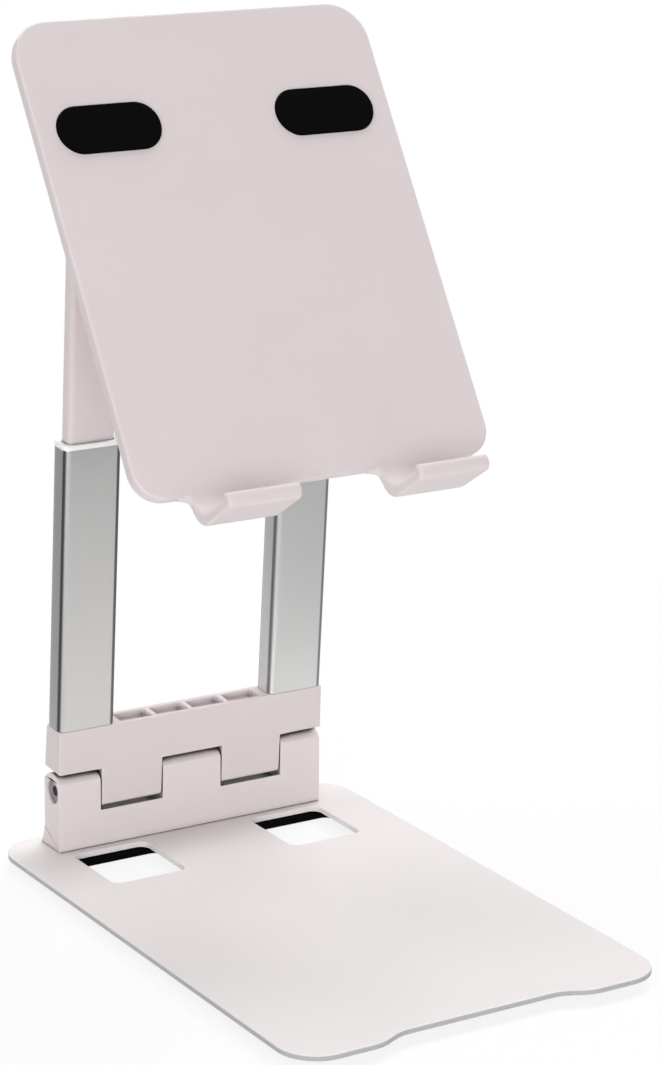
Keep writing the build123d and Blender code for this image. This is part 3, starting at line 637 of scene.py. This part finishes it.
class Finish(Nodes):
    """The nodes of a new material, with its Principled shader."""

    def __init__(self, name):
        self.material = bpy.data.materials.new(name)
        self.material.use_nodes = True
        super().__init__(self.material.node_tree)
        self.shader = next(n for n in self.tree.nodes if n.type == "BSDF_PRINCIPLED")

    def set(self, label, value):
        """Join or set one of the shader's sockets."""
        self.feed(self.shader.inputs[label], value)

    def effect(self, name, **values):
        """The outputs of a shared group, which is made the first time that it is asked for."""
        tree = bpy.data.node_groups.get(name) or EFFECTS[name]()
        return self.add("ShaderNodeGroup", values, node_tree=tree).outputs

    def tone(self, tone, drift, scale):
        """The colour and the mask of a cloudy tone."""
        outputs = self.effect("cloudy_tone", Colour=(*tone, 1), Drift=drift, Scale=scale)
        return outputs["Colour"], outputs["Mask"]

    def dress(self, tone, mask, rough, swing, height, depth):
        """Set the tone, a roughness of rough plus or minus swing by the mask, and a bump of depth in mm."""
        drift = self.maths("MULTIPLY", self.maths("SUBTRACT", mask, 0.5), 2 * swing)
        bump = self.add("ShaderNodeBump", {"Height": height, "Distance": depth * MM, "Strength": 1.0})
        self.set("Base Color", tone)
        self.set("Roughness", self.maths("ADD", drift, rough))
        self.set("Normal", bump.outputs[0])
        return self.material


# Painted shade: a near-black colour for narrow gaps, where shade falls.
GAP_SHADE = (0.006, 0.005, 0.005)
# The second nylon colour is a painted highlight for the washers' edges.
NYLON, NYLON_HIGHLIGHT = (0.8, 0.79, 0.76), (0.85, 0.84, 0.8)


def plastic_material(name, tone, rough, highlight_tone, grain=1400.0, depth=0.004):
    """Moulded plastic: a drifting tone, a painted highlight on the edges, painted shade in narrow gaps, and
    a fine skin.
    """
    nodes = Finish(name)
    drifting, mask = nodes.tone(tone, 0.05, 45.0)
    edges = nodes.effect("edge_mask", Radius=0.5 * MM, Strength=1.2)["Mask"]
    # Painted highlight: the edges take a lighter colour, as if light caught them.
    highlighted_edges = nodes.mix(edges, drifting, highlight_tone)
    # Painted shade darkens the narrow gaps between parts.
    shut = nodes.effect("gap_shade_mask", Distance=3.0 * MM, Strength=8.0)["Mask"]
    skin = nodes.effect("moulded_grain", Scale=grain, Pits=0.5)["Height"]
    return nodes.dress(nodes.mix(shut, highlighted_edges, GAP_SHADE), mask, rough, 0.05, skin, depth)


def paint_material(name, finishes):
    """Powder-coated steel: soft orange peel, with painted shade on the outer edges where the surface stands
    upright.
    """
    nodes = Finish(name)
    drifting, mask = nodes.tone(finishes.paint, 0.03, 25.0)
    # Painted shade on the upright outer edges, which the edges of the cut-outs don't get.
    level = nodes.size(nodes.parts(nodes.where("Normal"))["Z"])
    steep = nodes.maths("MULTIPLY", nodes.maths("SUBTRACT", 0.6, level), 2.2, True)
    place, rim = nodes.parts(nodes.where()), 8 * MM
    outer = nodes.maths("GREATER_THAN", nodes.size(place["X"]), BASE_HIGH[0] - rim)
    ends = nodes.maths("GREATER_THAN", nodes.size(place["Y"]), BASE_HIGH[1] - rim)
    edge = nodes.maths("MULTIPLY", steep, nodes.maths("MAXIMUM", outer, ends))
    tone = nodes.mix(edge, drifting, finishes.paint_edge)
    peel = nodes.effect("moulded_grain", Scale=700.0, Pits=0.2)["Height"]
    return nodes.dress(tone, mask, finishes.paint_rough, 0.04, peel, 0.003)


def aluminium_material(name, finishes):
    """Satin anodised aluminium: fine lines drawn along the arm, and a painted reflection at each corner.

    The painted reflection is a darker line, as if dark surroundings were mirrored in the rounded corner. It
    takes up the whole turn of a right corner, and only the part of a left corner that faces most to the
    side. It is fainter on the right sleeve.
    """
    nodes = Finish(name)
    place = nodes.where()
    lean = math.atan2(-ARM_UP[1], ARM_UP[2])
    turned_back = nodes.add("ShaderNodeMapping", {"Vector": place, "Rotation": (-lean, 0, 0)})
    lines = nodes.add("ShaderNodeMapping", {"Vector": turned_back.outputs[0], "Scale": (5200, 5200, 25)})
    noise = {"Vector": lines.outputs[0], "Scale": 1.0, "Detail": 2.0}
    grain = nodes.add("ShaderNodeTexNoise", noise).outputs["Fac"]
    # Painted reflection: a darker line on the rounded corners, as if dark surroundings were mirrored there.
    facing = nodes.parts(nodes.where("Normal"))
    left = nodes.ramp(nodes.maths("MULTIPLY", facing["X"], -1.0), 0.68, 0.82)
    right = nodes.ramp(facing["X"], 0.1, 0.25)
    front = nodes.ramp(nodes.size(facing["Y"]), 0.12, 0.3)
    rounded = nodes.maths("MULTIPLY", nodes.maths("ADD", left, right), front)
    fading = nodes.ramp(nodes.parts(place)["X"], -5 * MM, 5 * MM, 1.0, 0.75)
    low, high, dark = [[v * factor for v in finishes.aluminium] for factor in (0.95, 1.05, 0.22)]
    tone = nodes.mix(nodes.maths("MULTIPLY", rounded, fading), nodes.mix(grain, low, high), dark)
    nodes.set("Metallic", 1.0)
    return nodes.dress(tone, grain, finishes.aluminium_rough, 0.05, grain, 0.002)


def rubber_material(name, finishes):
    """Matte silicone rubber: nearly black, with a fine grain."""
    nodes = Finish(name)
    drifting, mask = nodes.tone(finishes.rubber, 0.5, 300.0)
    nodes.set("Specular IOR Level", 0.04)
    grain = nodes.effect("moulded_grain", Scale=2600.0, Pits=0.8)["Height"]
    return nodes.dress(drifting, mask, 0.7, 0.06, grain, 0.012)


def metal_material(name, tone, rough):
    """Turned or pressed steel: a fine uneven grain in tone and roughness."""
    nodes = Finish(name)
    drifting, mask = nodes.tone(tone, 0.2, 900.0)
    nodes.set("Metallic", 1.0)
    return nodes.dress(drifting, mask, rough, 0.08, mask, 0.002)


def finish_of(name):
    """One of the stand's materials, made from the finish properties the first time."""
    values = bpy.context.scene.stand_finishes
    plain = list(values.plastic)
    # A painted highlight: a lighter copy of the plastic's colour for its edges.
    edge_highlight = [min(1.0, v * 1.12) for v in plain]
    makers = {
        "moulded_plastic": (plastic_material, plain, values.plastic_rough, edge_highlight),
        # Painted light: a lighter copy of the plastic for the lower block.
        "block_plastic": (plastic_material, values.block, values.plastic_rough, edge_highlight),
        "collar_plastic": (plastic_material, values.collar, 0.3, values.collar, 1800.0, 0.002),
        "washer_nylon": (plastic_material, NYLON, 0.4, NYLON_HIGHLIGHT, 2000.0, 0.002),
        "base_paint": (paint_material, values),
        "satin_aluminium": (aluminium_material, values),
        "silicone_rubber": (rubber_material, values),
        "turned_steel": (metal_material, values.steel, 0.34),
        "pressed_metal": (metal_material, [v * 1.25 for v in values.steel], 0.4),
    }
    maker, *settings = makers[name]
    return bpy.data.materials.get(name) or maker(name, *settings)


# ---- outlines of the hinge blocks


def riser_outlines():
    """Side outlines of the lower block: cut down to the pocket's floor, and with its crowned knuckle.

    The pocket's floor is an arc about the fold axis, so that the upper block's knuckles turn in it.
    """
    axis = FOLD_AXIS[2] - BASE_HIGH[2]
    start, side = (math.degrees(math.acos(KNUCKLE / radius)) for radius in (CROWN, POCKET_RADIUS))
    floor = axis - POCKET_RADIUS * math.sin(math.radians(side))
    crown = arc((0, axis), CROWN, 180 - start, start, 20)
    hollow = arc((0, axis), POCKET_RADIUS, 180 + side, 360 - side, 20)
    flare = np.linspace(0, 1, 7)[:, None]
    foot = np.concatenate((KNUCKLE + FOOT_FLARE * flare**2, FLARE_HEIGHT * (1 - flare)), 1)
    left, right = ((-KNUCKLE, 0.0), (-KNUCKLE, floor)), ((KNUCKLE, floor),)
    return [np.concatenate((left, top, right, foot)) for top in (hollow, crown)]


def yoke_outline(knuckle, pocket):
    """Side outline of the upper block about the fold axis, the same number of points for each kind.

    knuckle: it has a foot with round corners below the axis, or is cut off level above it. pocket:
    its top is hollowed between thin walls.
    """
    out, down = KNUCKLE - FOOT_ROUND, FOOT_ROUND - KNUCKLE_FOOT
    foot = np.concatenate((arc((-out, down), FOOT_ROUND, 180, 270), arc((out, down), FOOT_ROUND, 270, 360)))
    if not knuckle:
        foot[:, 1] = POCKET_REACH
    inner = YOKE_THIN - BAR_WALL
    floor = SHOULDER - BAR_POCKET_DEPTH if pocket else SHOULDER
    right = ((KNUCKLE, POCKET_REACH), (YOKE_THIN, SHOULDER))
    hollow = ((inner, SHOULDER), (inner, floor), (-inner, floor), (-inner, SHOULDER))
    left = ((-YOKE_THIN, SHOULDER), (-KNUCKLE, POCKET_REACH))
    return np.concatenate((foot, right, hollow, left))


def bridge_outline(knuckle):
    """Side outline of the bridge about the tilt axis, with or without its round knuckle."""
    low, high = -TILT_REACH - BRIDGE_HEIGHT, -TILT_REACH
    side, foot, middle = TILT_KNUCKLE, BRIDGE_FOOT, low / 2 + high / 2
    top = arc((0, 0), side, 0, 180, 20)
    if not knuckle:
        top[:, 1] = high
    below = ((-side, high), (-side, middle), (-foot, low), (foot, low), (side, middle), (side, high))
    return np.concatenate((top, below))


def knuckled_block(shell, ends, plain, knuckle, recess):
    """A block with a knuckle in the middle and at both ends, and the plain outline between them.

    ends holds the X at which the middle knuckle ends, the end ones start, and the block ends.
    """
    stations = [-end for end in reversed(ends)] + list(ends)
    stepped_block(shell, stations, (knuckle, plain, knuckle, plain, knuckle), recess)


# ---- operators


class StandPiece:
    """What the operators that build pieces share."""

    bl_options = {"REGISTER", "UNDO"}


def sheet_holes(sizes, width, edge, screw_radius, screw_edge, steps):
    """The two cut-outs and the four screw holes of the base or the mat, in the form that slab takes."""
    cutouts = [rectangle(width, CUTOUT_LENGTH, (x, CUTOUT_Y)) for x in (-CUTOUT_X, CUTOUT_X)]
    holes = [(rounded_loop(corners, sizes.cutout_corner), edge) for corners in cutouts]
    return holes + [(circle(screw_radius, (x, FOLD_AXIS[1]), steps), screw_edge) for x in SCREW_X]


class STAND_OT_base(StandPiece, bpy.types.Operator):
    """Builds the painted base plate and the mat under it"""

    bl_idname = "stand.base"
    bl_label = "Base plate and mat"

    def execute(self, context):
        sizes = context.scene.stand_sizes
        side, front, rear = BASE_HIGH[0], BASE_LOW[1], BASE_HIGH[1]
        mouth, floor, depth = sizes.notch_mouth / 2, sizes.notch_floor / 2, front + sizes.notch_depth
        notch = ((-mouth, front), (-floor, depth), (floor, depth), (mouth, front))
        corners = ((-side, front), *notch, (side, front), (side, rear), (-side, rear))
        outline = rounded_loop(corners, sizes.base_corner, 12)
        holes = sheet_holes(sizes, CUTOUT_WIDTH, CUTOUT_EDGE, SCREW_HOLE, FINE_EDGE, 20)
        shell = Shell(BASE)
        edges = (BASE_LOWER_EDGE, sizes.base_edge)
        slab(shell, outline, BASE_HIGH[2] - BASE_LOW[2], edges, through=holes)
        finish_piece(shell, "base_sheet", "base_paint", "base", "base_plate")

        width, depth, thickness = MAT_HIGH - MAT_LOW
        outline = rounded_loop(rectangle(width, depth, ((MAT_LOW + MAT_HIGH) / 2)[:2]), MAT_CORNER)
        holes = sheet_holes(sizes, MAT_CUTOUT_WIDTH, MAT_HOLE_EDGE, SCREW_POCKET, MAT_HOLE_EDGE, 24)
        shell = Shell(MAT)
        slab(shell, outline, thickness, (SOFT_EDGE, FINE_EDGE), through=holes)
        finish_piece(shell, "soft_mat", "silicone_rubber", "base", "base_mat")
        return {"FINISHED"}


class STAND_OT_lower_block(StandPiece, bpy.types.Operator):
    """Builds the hinge block that stands on the base"""

    bl_idname = "stand.lower_block"
    bl_label = "Lower hinge block"

    def execute(self, context):
        shell = Shell(RISER)
        ends = (KNUCKLE_INNER, KNUCKLE_OUTER, BLOCK_END)
        recess = ((0, FOLD_AXIS[2] - BASE_HIGH[2]), FOLD_RECESS_RADIUS, FOLD_RECESS_DEPTH)
        knuckled_block(shell, ends, *riser_outlines(), recess)
        edge = context.scene.stand_sizes.block_edge * LOWER_BEVEL_SHARE
        finish_piece(shell, "hinge_block", "block_plastic", "base", "riser_block", edge)
        return {"FINISHED"}


class STAND_OT_yoke(StandPiece, bpy.types.Operator):
    """Builds the hinge block that carries the sleeves"""

    bl_idname = "stand.yoke"
    bl_label = "Upper hinge block"

    def execute(self, context):
        inner, outer = KNUCKLE_INNER + KNUCKLE_GAP, KNUCKLE_OUTER - KNUCKLE_GAP
        centres = [(i - (BAR_POCKETS - 1) / 2) * BAR_POCKET_PITCH for i in range(BAR_POCKETS)]
        pockets = [(centre - BAR_POCKET_WIDTH / 2, centre + BAR_POCKET_WIDTH / 2) for centre in centres]
        stations = sorted({-BLOCK_END, -outer, -inner, inner, outer, BLOCK_END}.union(*pockets))
        outlines = []
        for start, end in zip(stations, stations[1:]):
            middle = (start + end) / 2
            hollow = any(low < middle < high for low, high in pockets)
            outlines.append(yoke_outline(inner < abs(middle) < outer, hollow))
        shell = Shell(ARM_SIDE)
        stepped_block(shell, stations, outlines)
        edge = context.scene.stand_sizes.block_edge * YOKE_BEVEL_SHARE
        finish_piece(shell, "yoke", "moulded_plastic", "arm", "yoke_block", edge)
        return {"FINISHED"}


class STAND_OT_sleeves(StandPiece, bpy.types.Operator):
    """Builds the two aluminium sleeves and the collars at their tops"""

    bl_idname = "stand.sleeves"
    bl_label = "Sleeves and collars"

    def execute(self, context):
        sizes = context.scene.stand_sizes
        for side, sign in SIDES:
            centre = (sign * SLEEVE_X, 0)
            outline = rounded_loop(rectangle(SLEEVE_WIDTH, SLEEVE_THICKNESS, centre), sizes.sleeve_corner)
            inset, level = edge_profile(SLEEVE_TOP - SHOULDER, SLEEVE_EDGE, SLEEVE_EDGE, 3)
            inset = np.concatenate((inset, sizes.sleeve_wall - inset[::-1]))
            level = SHOULDER + np.concatenate((level, level[::-1]))
            shell = Shell(ARM_SECTION)
            shell.grid(carried(outline, (inset, level)), wrap=True)
            finish_piece(shell, f"{side}_tube", "satin_aluminium", "arm", f"{side}_sleeve")

            opening = np.array((sizes.leg_width, sizes.leg_thickness)) + 2 * LEG_CLEARANCE
            inner, _ = rounded_loop(rectangle(*opening, centre), sizes.leg_corner + LEG_CLEARANCE)
            bore = rectangle(SLEEVE_WIDTH - COLLAR_INSET, SLEEVE_THICKNESS - COLLAR_INSET, centre)
            skirt, _ = rounded_loop(bore, sizes.sleeve_wall)
            rim = outline[0] * 0.995 + inner * 0.005
            rows = [(inner, -COLLAR_SKIRT), (skirt, -COLLAR_SKIRT), (skirt, 0), (rim, 0)]
            rows += [(rim * (1 - share) + inner * share, height * MM) for share, height in COLLAR_TOP]
            shell = Shell(ARM_SECTION)
            shell.grid(stacked([(ring, SLEEVE_TOP + height) for ring, height in rows]), wrap=True)
            finish_piece(shell, f"{side}_guide", "collar_plastic", "arm", f"{side}_collar", sharp=50)
        return {"FINISHED"}


class STAND_OT_legs(StandPiece, bpy.types.Operator):
    """Builds the two sliding legs"""

    bl_idname = "stand.legs"
    bl_label = "Sliding legs"

    def execute(self, context):
        sizes = context.scene.stand_sizes
        top = float(np.linalg.norm(TILT_AXIS - FOLD_AXIS)) - TILT_REACH - BRIDGE_HEIGHT
        for side, sign in SIDES:
            corners = rectangle(sizes.leg_width, sizes.leg_thickness, (sign * SLEEVE_X, 0))
            outline = rounded_loop(corners, sizes.leg_corner, 10)
            shell = Shell(ARM_SECTION)
            slab(shell, outline, top - LEG_FOOT, (SOFT_EDGE, LEG_TOP_EDGE), LEG_FOOT)
            finish_piece(shell, f"{side}_bar", "moulded_plastic", "legs", f"{side}_leg")
        return {"FINISHED"}


class STAND_OT_bridge(StandPiece, bpy.types.Operator):
    """Builds the bridge between the legs, with the tilt hinge's fixed knuckles"""

    bl_idname = "stand.bridge"
    bl_label = "Leg bridge"

    def execute(self, context):
        shell = Shell(BRIDGE_SIDE)
        ends, recess = (BRIDGE_INNER, BRIDGE_OUTER, BRIDGE_END), ((0, 0), TILT_RECESS, TILT_RECESS)
        knuckled_block(shell, ends, bridge_outline(False), bridge_outline(True), recess)
        edge = context.scene.stand_sizes.block_edge * BRIDGE_BEVEL_SHARE
        finish_piece(shell, "top_bridge", "moulded_plastic", "legs", "leg_bridge", edge)
        return {"FINISHED"}


class STAND_OT_plate(StandPiece, bpy.types.Operator):
    """Builds the phone plate with its two hooks"""

    bl_idname = "stand.plate"
    bl_label = "Phone plate"

    def execute(self, context):
        sizes = context.scene.stand_sizes
        middle = (PLATE_TOP + PLATE_BOTTOM) / 2
        radii = (LOWER_CORNER, LOWER_CORNER, sizes.plate_corner, sizes.plate_corner)
        corners = rectangle(2 * PLATE_END, PLATE_TOP - PLATE_BOTTOM, (0, middle))
        width, height = sizes.pad_length + PAD_CLEARANCE, sizes.pad_width + PAD_CLEARANCE
        seats = [rectangle(width, height) + (x, PAD_LEVEL) for x in (-PAD_X, PAD_X)]
        recesses = [(rounded_loop(seat, height / 2 - SEAM, 14), PAD_SINK, PAD_SEAT_EDGE) for seat in seats]
        shell = Shell(PLATE_FACE)
        thickness, edges = PLATE_FRONT_FACE - PLATE_BACK_FACE, (sizes.plate_edge, sizes.plate_edge)
        slab(shell, rounded_loop(corners, radii, 16), thickness, edges, PLATE_BACK_FACE, 6, (), recesses)
        for x in (-HOOK_X, HOOK_X):
            hook(shell, sizes, x)
        finish_piece(shell, "phone_rest", "moulded_plastic", "plate", "phone_plate", sharp=40)
        return {"FINISHED"}


def hook(shell, sizes, x):
    """A hook as a loft between an outer and an inner line in the side plane.

    Both lines run down the plate, round the bend, along the ledge and up the lip, where they meet.
    Each section is a rectangle with round corners from one line to the other. Its half width is
    w/2 + r (1 - sin q) at the root, where the depth below the plate's edge is r (1 - cos q), and
    w/2 - R + sqrt(R^2 - e^2) at the front, e being how far the section is into the front corner.
    """
    root, corner = sizes.hook_root, sizes.hook_corner
    lip, tip = sizes.hook_floor, sizes.hook_floor / 2
    bottom = PLATE_BOTTOM - sizes.hook_drop
    floor, start = bottom + lip, PLATE_BOTTOM + HOOK_START
    tip_level = floor + sizes.hook_lip - tip
    reach = PLATE_FRONT_FACE + sizes.hook_depth
    back, front = PLATE_BACK_FACE + SKIN, PLATE_FRONT_FACE - SKIN
    neck = np.linspace(PLATE_BOTTOM + HOOK_NECK, PLATE_BOTTOM, 11)
    heel = (PLATE_BACK_FACE + HOOK_COVE + HOOK_HEEL, bottom + HOOK_HEEL)
    outer = (
        ((back, start),),
        arc((back, PLATE_BOTTOM - HOOK_COVE), HOOK_COVE, 90, 0, 10),
        arc(heel, HOOK_HEEL, 180, 270, 14),
        arc((reach - HOOK_NOSE, bottom + HOOK_NOSE), HOOK_NOSE, 270, 360, 10),
        arc((reach - tip, tip_level), tip, 0, 90),
    )
    inner = (
        ((front, start),),
        np.stack((np.full(11, front), neck), 1),
        arc((front + HOOK_BEND, floor + HOOK_BEND), HOOK_BEND, 184, 270, 14),
        arc((reach - lip - HOOK_NOOK, floor + HOOK_NOOK), HOOK_NOOK, 270, 360, 10),
        arc((reach - tip, tip_level), tip, 180, 90),
    )
    outer, inner = np.concatenate(outer), np.concatenate(inner)
    middle, across = (outer + inner) / 2, inner - outer
    below = np.clip(PLATE_BOTTOM - middle[:, 1:], 0, root)
    flare = root - np.sqrt(root**2 - (root - below) ** 2)
    into = np.clip(middle[:, :1] - (reach - corner), 0, corner)
    half = sizes.hook_width / 2 + flare - corner + np.sqrt(corner**2 - into**2)
    thick = np.linalg.norm(across, axis=1)[:, None]
    edge = np.minimum(sizes.hook_edge, thick * HOOK_EDGE_SHARE)
    angle = np.radians(np.linspace(0, 90, 6))[None]
    side, away = [], []
    for sign, base, start in ((1, thick - edge, 0), (-1, thick - edge, 90), (-1, edge, 180), (1, edge, 270)):
        turn = angle + math.radians(start)
        side.append(sign * (half - edge) + edge * np.cos(turn))
        away.append(base + edge * np.sin(turn))
    side, away = np.concatenate(side, 1), np.concatenate(away, 1)
    unit = across / np.maximum(thick, 1e-9)
    points = outer[:, None] + away[:, :, None] * unit[:, None]
    rings = shell.grid(np.stack((x + side, points[:, :, 1], points[:, :, 0]), 2))
    shell.cap(rings[0])
    shell.cap(rings[-1])


class STAND_OT_pads(StandPiece, bpy.types.Operator):
    """Builds the two soft pads on the phone plate"""

    bl_idname = "stand.pads"
    bl_label = "Soft pads"

    def execute(self, context):
        sizes = context.scene.stand_sizes
        for side, sign in SIDES:
            corners = rectangle(sizes.pad_length, sizes.pad_width, (sign * PAD_X, PAD_LEVEL))
            outline = rounded_loop(corners, sizes.pad_width / 2 - SEAM, 16)
            shell = Shell(PLATE_FACE)
            slab(shell, outline, PAD_THICKNESS, (FINE_EDGE, PAD_EDGE), PLATE_FRONT_FACE - PAD_SINK)
            finish_piece(shell, f"{side}_cushion", "silicone_rubber", "plate", f"{side}_pad")
        return {"FINISHED"}


class STAND_OT_bracket(StandPiece, bpy.types.Operator):
    """Builds the bracket behind the plate, with the tilt hinge's moving knuckles"""

    bl_idname = "stand.bracket"
    bl_label = "Hinge bracket"

    def execute(self, context):
        shell = Shell(PLATE_FACE)
        corners = rectangle(BRACKET_WIDTH, BRACKET_HEIGHT, (0, PAD_LEVEL))
        outline = rounded_loop(corners, BRACKET_CORNER, 10)
        slab(shell, outline, BRACKET_THICKNESS, (BRACKET_EDGE, SKIN), TILT_REACH)
        finish_piece(shell, "bracket_sheet", "pressed_metal", "plate", "hinge_bracket")

        shell = Shell(PLATE_SIDE)
        root = -TILT_REACH - MOVING_KNUCKLE_ROOT
        round_part = arc((0, 0), TILT_KNUCKLE, -90, 90, 16)
        outline = np.concatenate((round_part, ((root, TILT_KNUCKLE), (root, -TILT_KNUCKLE))))
        for start in MOVING_KNUCKLE_STARTS:
            stepped_block(shell, (start, start + MOVING_KNUCKLE_WIDTH), (outline,))
        finish_piece(shell, "bracket_knuckles", "pressed_metal", "plate", bevel=MOVING_KNUCKLE_EDGE)
        return {"FINISHED"}


SCREWS = ("base_screws", "sleeve_screws", "bridge_screws", "bracket_screws")
PINS = ("fold_pin", "fold_pin_nut", "tilt_pin", "tilt_pin_nut")
FITTINGS = {
    "turned_steel": SCREWS + PINS,
    "washer_nylon": ("fold_washers", "tilt_washers"),
    "collar_plastic": ("left_shoe", "right_shoe"),
    "silicone_rubber": ("friction_pads",),
}


class STAND_OT_fittings(StandPiece, bpy.types.Operator):
    """Gives the pins, nuts, washers, screws and shoes their finishes"""

    bl_idname = "stand.fittings"
    bl_label = "Pins and screws"

    def execute(self, context):
        for look, names in FITTINGS.items():
            for name in names:
                mesh = frame["nodes"][name].data
                mesh.materials.clear()
                mesh.materials.append(finish_of(look))
        return {"FINISHED"}


# ---- stage


CAMERA_AZIMUTH = math.radians(-31.752)
CAMERA_PITCH = math.radians(90 - 16.048)
CAMERA_ROLL = math.radians(0.611)
CAMERA_DISTANCE = 628.871 * MM
CAMERA_TARGET = Vector((0.724, -1.807, 76.328)) * MM
CAMERA_LENS = 113.13
CAMERA_SHIFT = (0.00104, 0.01192)
FLOOR_REACH = 6.0
LAMP_SIZE = 0.9
LAMP_TARGET = Vector((0, 0, 0.06))
WHITE = {"Color": (1, 1, 1, 1), "Strength": 1.0}
SOFT_BOXES = (
    ("key_light", (-0.8, -1.3, 0.2), 13.2, True),
    ("front_light", (0.3, -1.6, 0.15), 5.8, True),
    ("left_light", (-1.3, -0.8, 0.55), 4.8, True),
    ("right_light", (1.0, 0.5, 1.3), 14.9, False),
    ("rear_light", (0.2, 0.6, 1.6), 7.6, False),
    ("rear_left_light", (-0.7, 0.5, 1.5), 6.7, False),
)


class STAND_OT_stage(bpy.types.Operator):
    """Makes the pale floor, the soft studio light and the camera"""

    bl_idname = "stand.stage"
    bl_label = "Studio stage"

    def execute(self, context):
        scene = context.scene
        lens = bpy.data.cameras.new("studio_camera")
        lens.lens = CAMERA_LENS
        lens.shift_x, lens.shift_y = CAMERA_SHIFT
        lens.clip_start, lens.clip_end = 0.01, 50.0
        scene.camera = linked("studio_camera", lens)
        turn = Matrix.Rotation(CAMERA_AZIMUTH, 4, "Z") @ Matrix.Rotation(CAMERA_PITCH, 4, "X")
        away = Matrix.Translation((0, 0, CAMERA_DISTANCE)) @ Matrix.Rotation(CAMERA_ROLL, 4, "Z")
        scene.camera.matrix_world = Matrix.Translation(CAMERA_TARGET) @ turn @ away

        floor_mesh = bpy.data.meshes.new("studio_floor")
        corners = [(*corner, 0) for corner in rectangle(2 * FLOOR_REACH, 2 * FLOOR_REACH).tolist()]
        floor_mesh.from_pydata(corners, [], [(0, 1, 2, 3)])
        floor_mesh.materials.append(floor_material(scene.stand_finishes))
        linked("studio_floor", floor_mesh)

        world = bpy.data.worlds.new("studio_world")
        scene.world = world
        world.use_nodes = True
        nodes = Nodes(world.node_tree)
        ambient = next(n for n in world.node_tree.nodes if n.type == "BACKGROUND")
        ambient.inputs["Color"].default_value = (0.96, 0.98, 1.0, 1)
        ambient.inputs["Strength"].default_value = 0.2
        seen = nodes.add("ShaderNodeBackground", WHITE)
        plain = nodes.maths("MAXIMUM", *nodes.rays())
        nodes.output("OUTPUT_WORLD", ambient.outputs[0], seen.outputs[0], plain)

        for name, place, power, mirrored in SOFT_BOXES:
            soft_box(name, place, power, mirrored)
        scene.view_settings.view_transform = "Standard"
        return {"FINISHED"}


def soft_box(name, place, power, mirrored):
    """A square area light that faces the object, and shows in its reflections only if mirrored is set."""
    data = bpy.data.lights.new(name, "AREA")
    data.shape = "SQUARE"
    data.size = LAMP_SIZE
    data.energy = power
    light = linked(name, data)
    light.location = place
    light.rotation_mode = "QUATERNION"
    light.rotation_quaternion = (LAMP_TARGET - Vector(place)).to_track_quat("-Z", "Y")
    light.visible_glossy = mirrored


def floor_material(finishes):
    """A pale floor that keeps the object's shadow and looks white where the light falls freely.

    A camera ray meets mostly white light, wholly so further out. A mirrored ray meets a painted
    reflection: a glow that fades with distance from the front of the object.
    """
    nodes = Finish("studio_floor")
    nodes.set("Base Color", nodes.tone(finishes.floor, 0.01, 3.0)[0])
    nodes.set("Roughness", 0.9)
    nodes.set("Specular IOR Level", 0.0)
    place = nodes.where()
    # Painted reflection: a glow that only mirrored rays meet, uneven around the object, for the sleeves to
    # show.
    ahead = nodes.measure("DISTANCE", place, (0.03, 0.03, 0))
    near = nodes.maths("MINIMUM", nodes.maths("ADD", nodes.maths("DIVIDE", 0.027, ahead), 0.36), 1.0)
    aside = nodes.measure("DOT_PRODUCT", place, (1, 0.3, 0))
    behind = nodes.ramp(aside, -0.045, -0.02, 0.24, 0.75)
    rear = nodes.ramp(nodes.parts(place)["Y"], 0.04, 0.1)
    change = nodes.maths("MULTIPLY", nodes.maths("SUBTRACT", behind, near), rear)
    glow = nodes.add("ShaderNodeEmission", {**WHITE, "Strength": nodes.maths("ADD", near, change)})
    white = nodes.add("ShaderNodeEmission", WHITE)
    white_share = nodes.ramp(nodes.measure("DISTANCE", place, (0, 0, 0)), 0.1, 0.26, 0.85, 1.0)
    camera_ray, mirrored_ray = nodes.rays()
    seen = nodes.maths("MULTIPLY", camera_ray, white_share)
    plain = nodes.blend(seen, nodes.shader.outputs[0], white.outputs[0])
    nodes.output("OUTPUT_MATERIAL", plain, glow.outputs[0], mirrored_ray)
    return nodes.material


# ---- panel and registration


PIECE_OPERATORS = (
    STAND_OT_base,
    STAND_OT_lower_block,
    STAND_OT_yoke,
    STAND_OT_sleeves,
    STAND_OT_legs,
    STAND_OT_bridge,
    STAND_OT_plate,
    STAND_OT_pads,
    STAND_OT_bracket,
    STAND_OT_fittings,
    STAND_OT_stage,
)


class STAND_PT_panel(bpy.types.Panel):
    """Lists the stand's operators, sizes and finishes"""

    bl_idname = "STAND_PT_panel"
    bl_label = "Phone stand"
    bl_space_type = "VIEW_3D"
    bl_region_type = "UI"
    bl_category = "Phone stand"

    def draw(self, context):
        layout = self.layout
        for operator in PIECE_OPERATORS:
            layout.operator(operator.bl_idname)
        for group in (context.scene.stand_sizes, context.scene.stand_finishes):
            part = layout.box()
            for name in group.__annotations__:
                part.prop(group, name)


CLASSES = (StandSizes, StandFinishes, *PIECE_OPERATORS, STAND_PT_panel)


def register():
    """Registers the classes and the two property groups on the scene."""
    for cls in CLASSES:
        bpy.utils.register_class(cls)
    bpy.types.Scene.stand_sizes = PointerProperty(type=StandSizes)
    bpy.types.Scene.stand_finishes = PointerProperty(type=StandFinishes)


def unregister():
    """Takes the properties and classes away again."""
    del bpy.types.Scene.stand_finishes
    del bpy.types.Scene.stand_sizes
    for cls in reversed(CLASSES):
        bpy.utils.unregister_class(cls)


def main():
    """Builds every piece and the stage."""
    register()
    for operator in PIECE_OPERATORS:
        family, name = operator.bl_idname.split(".")
        getattr(getattr(bpy.ops, family), name)()


if __name__ == "__main__":
    main()
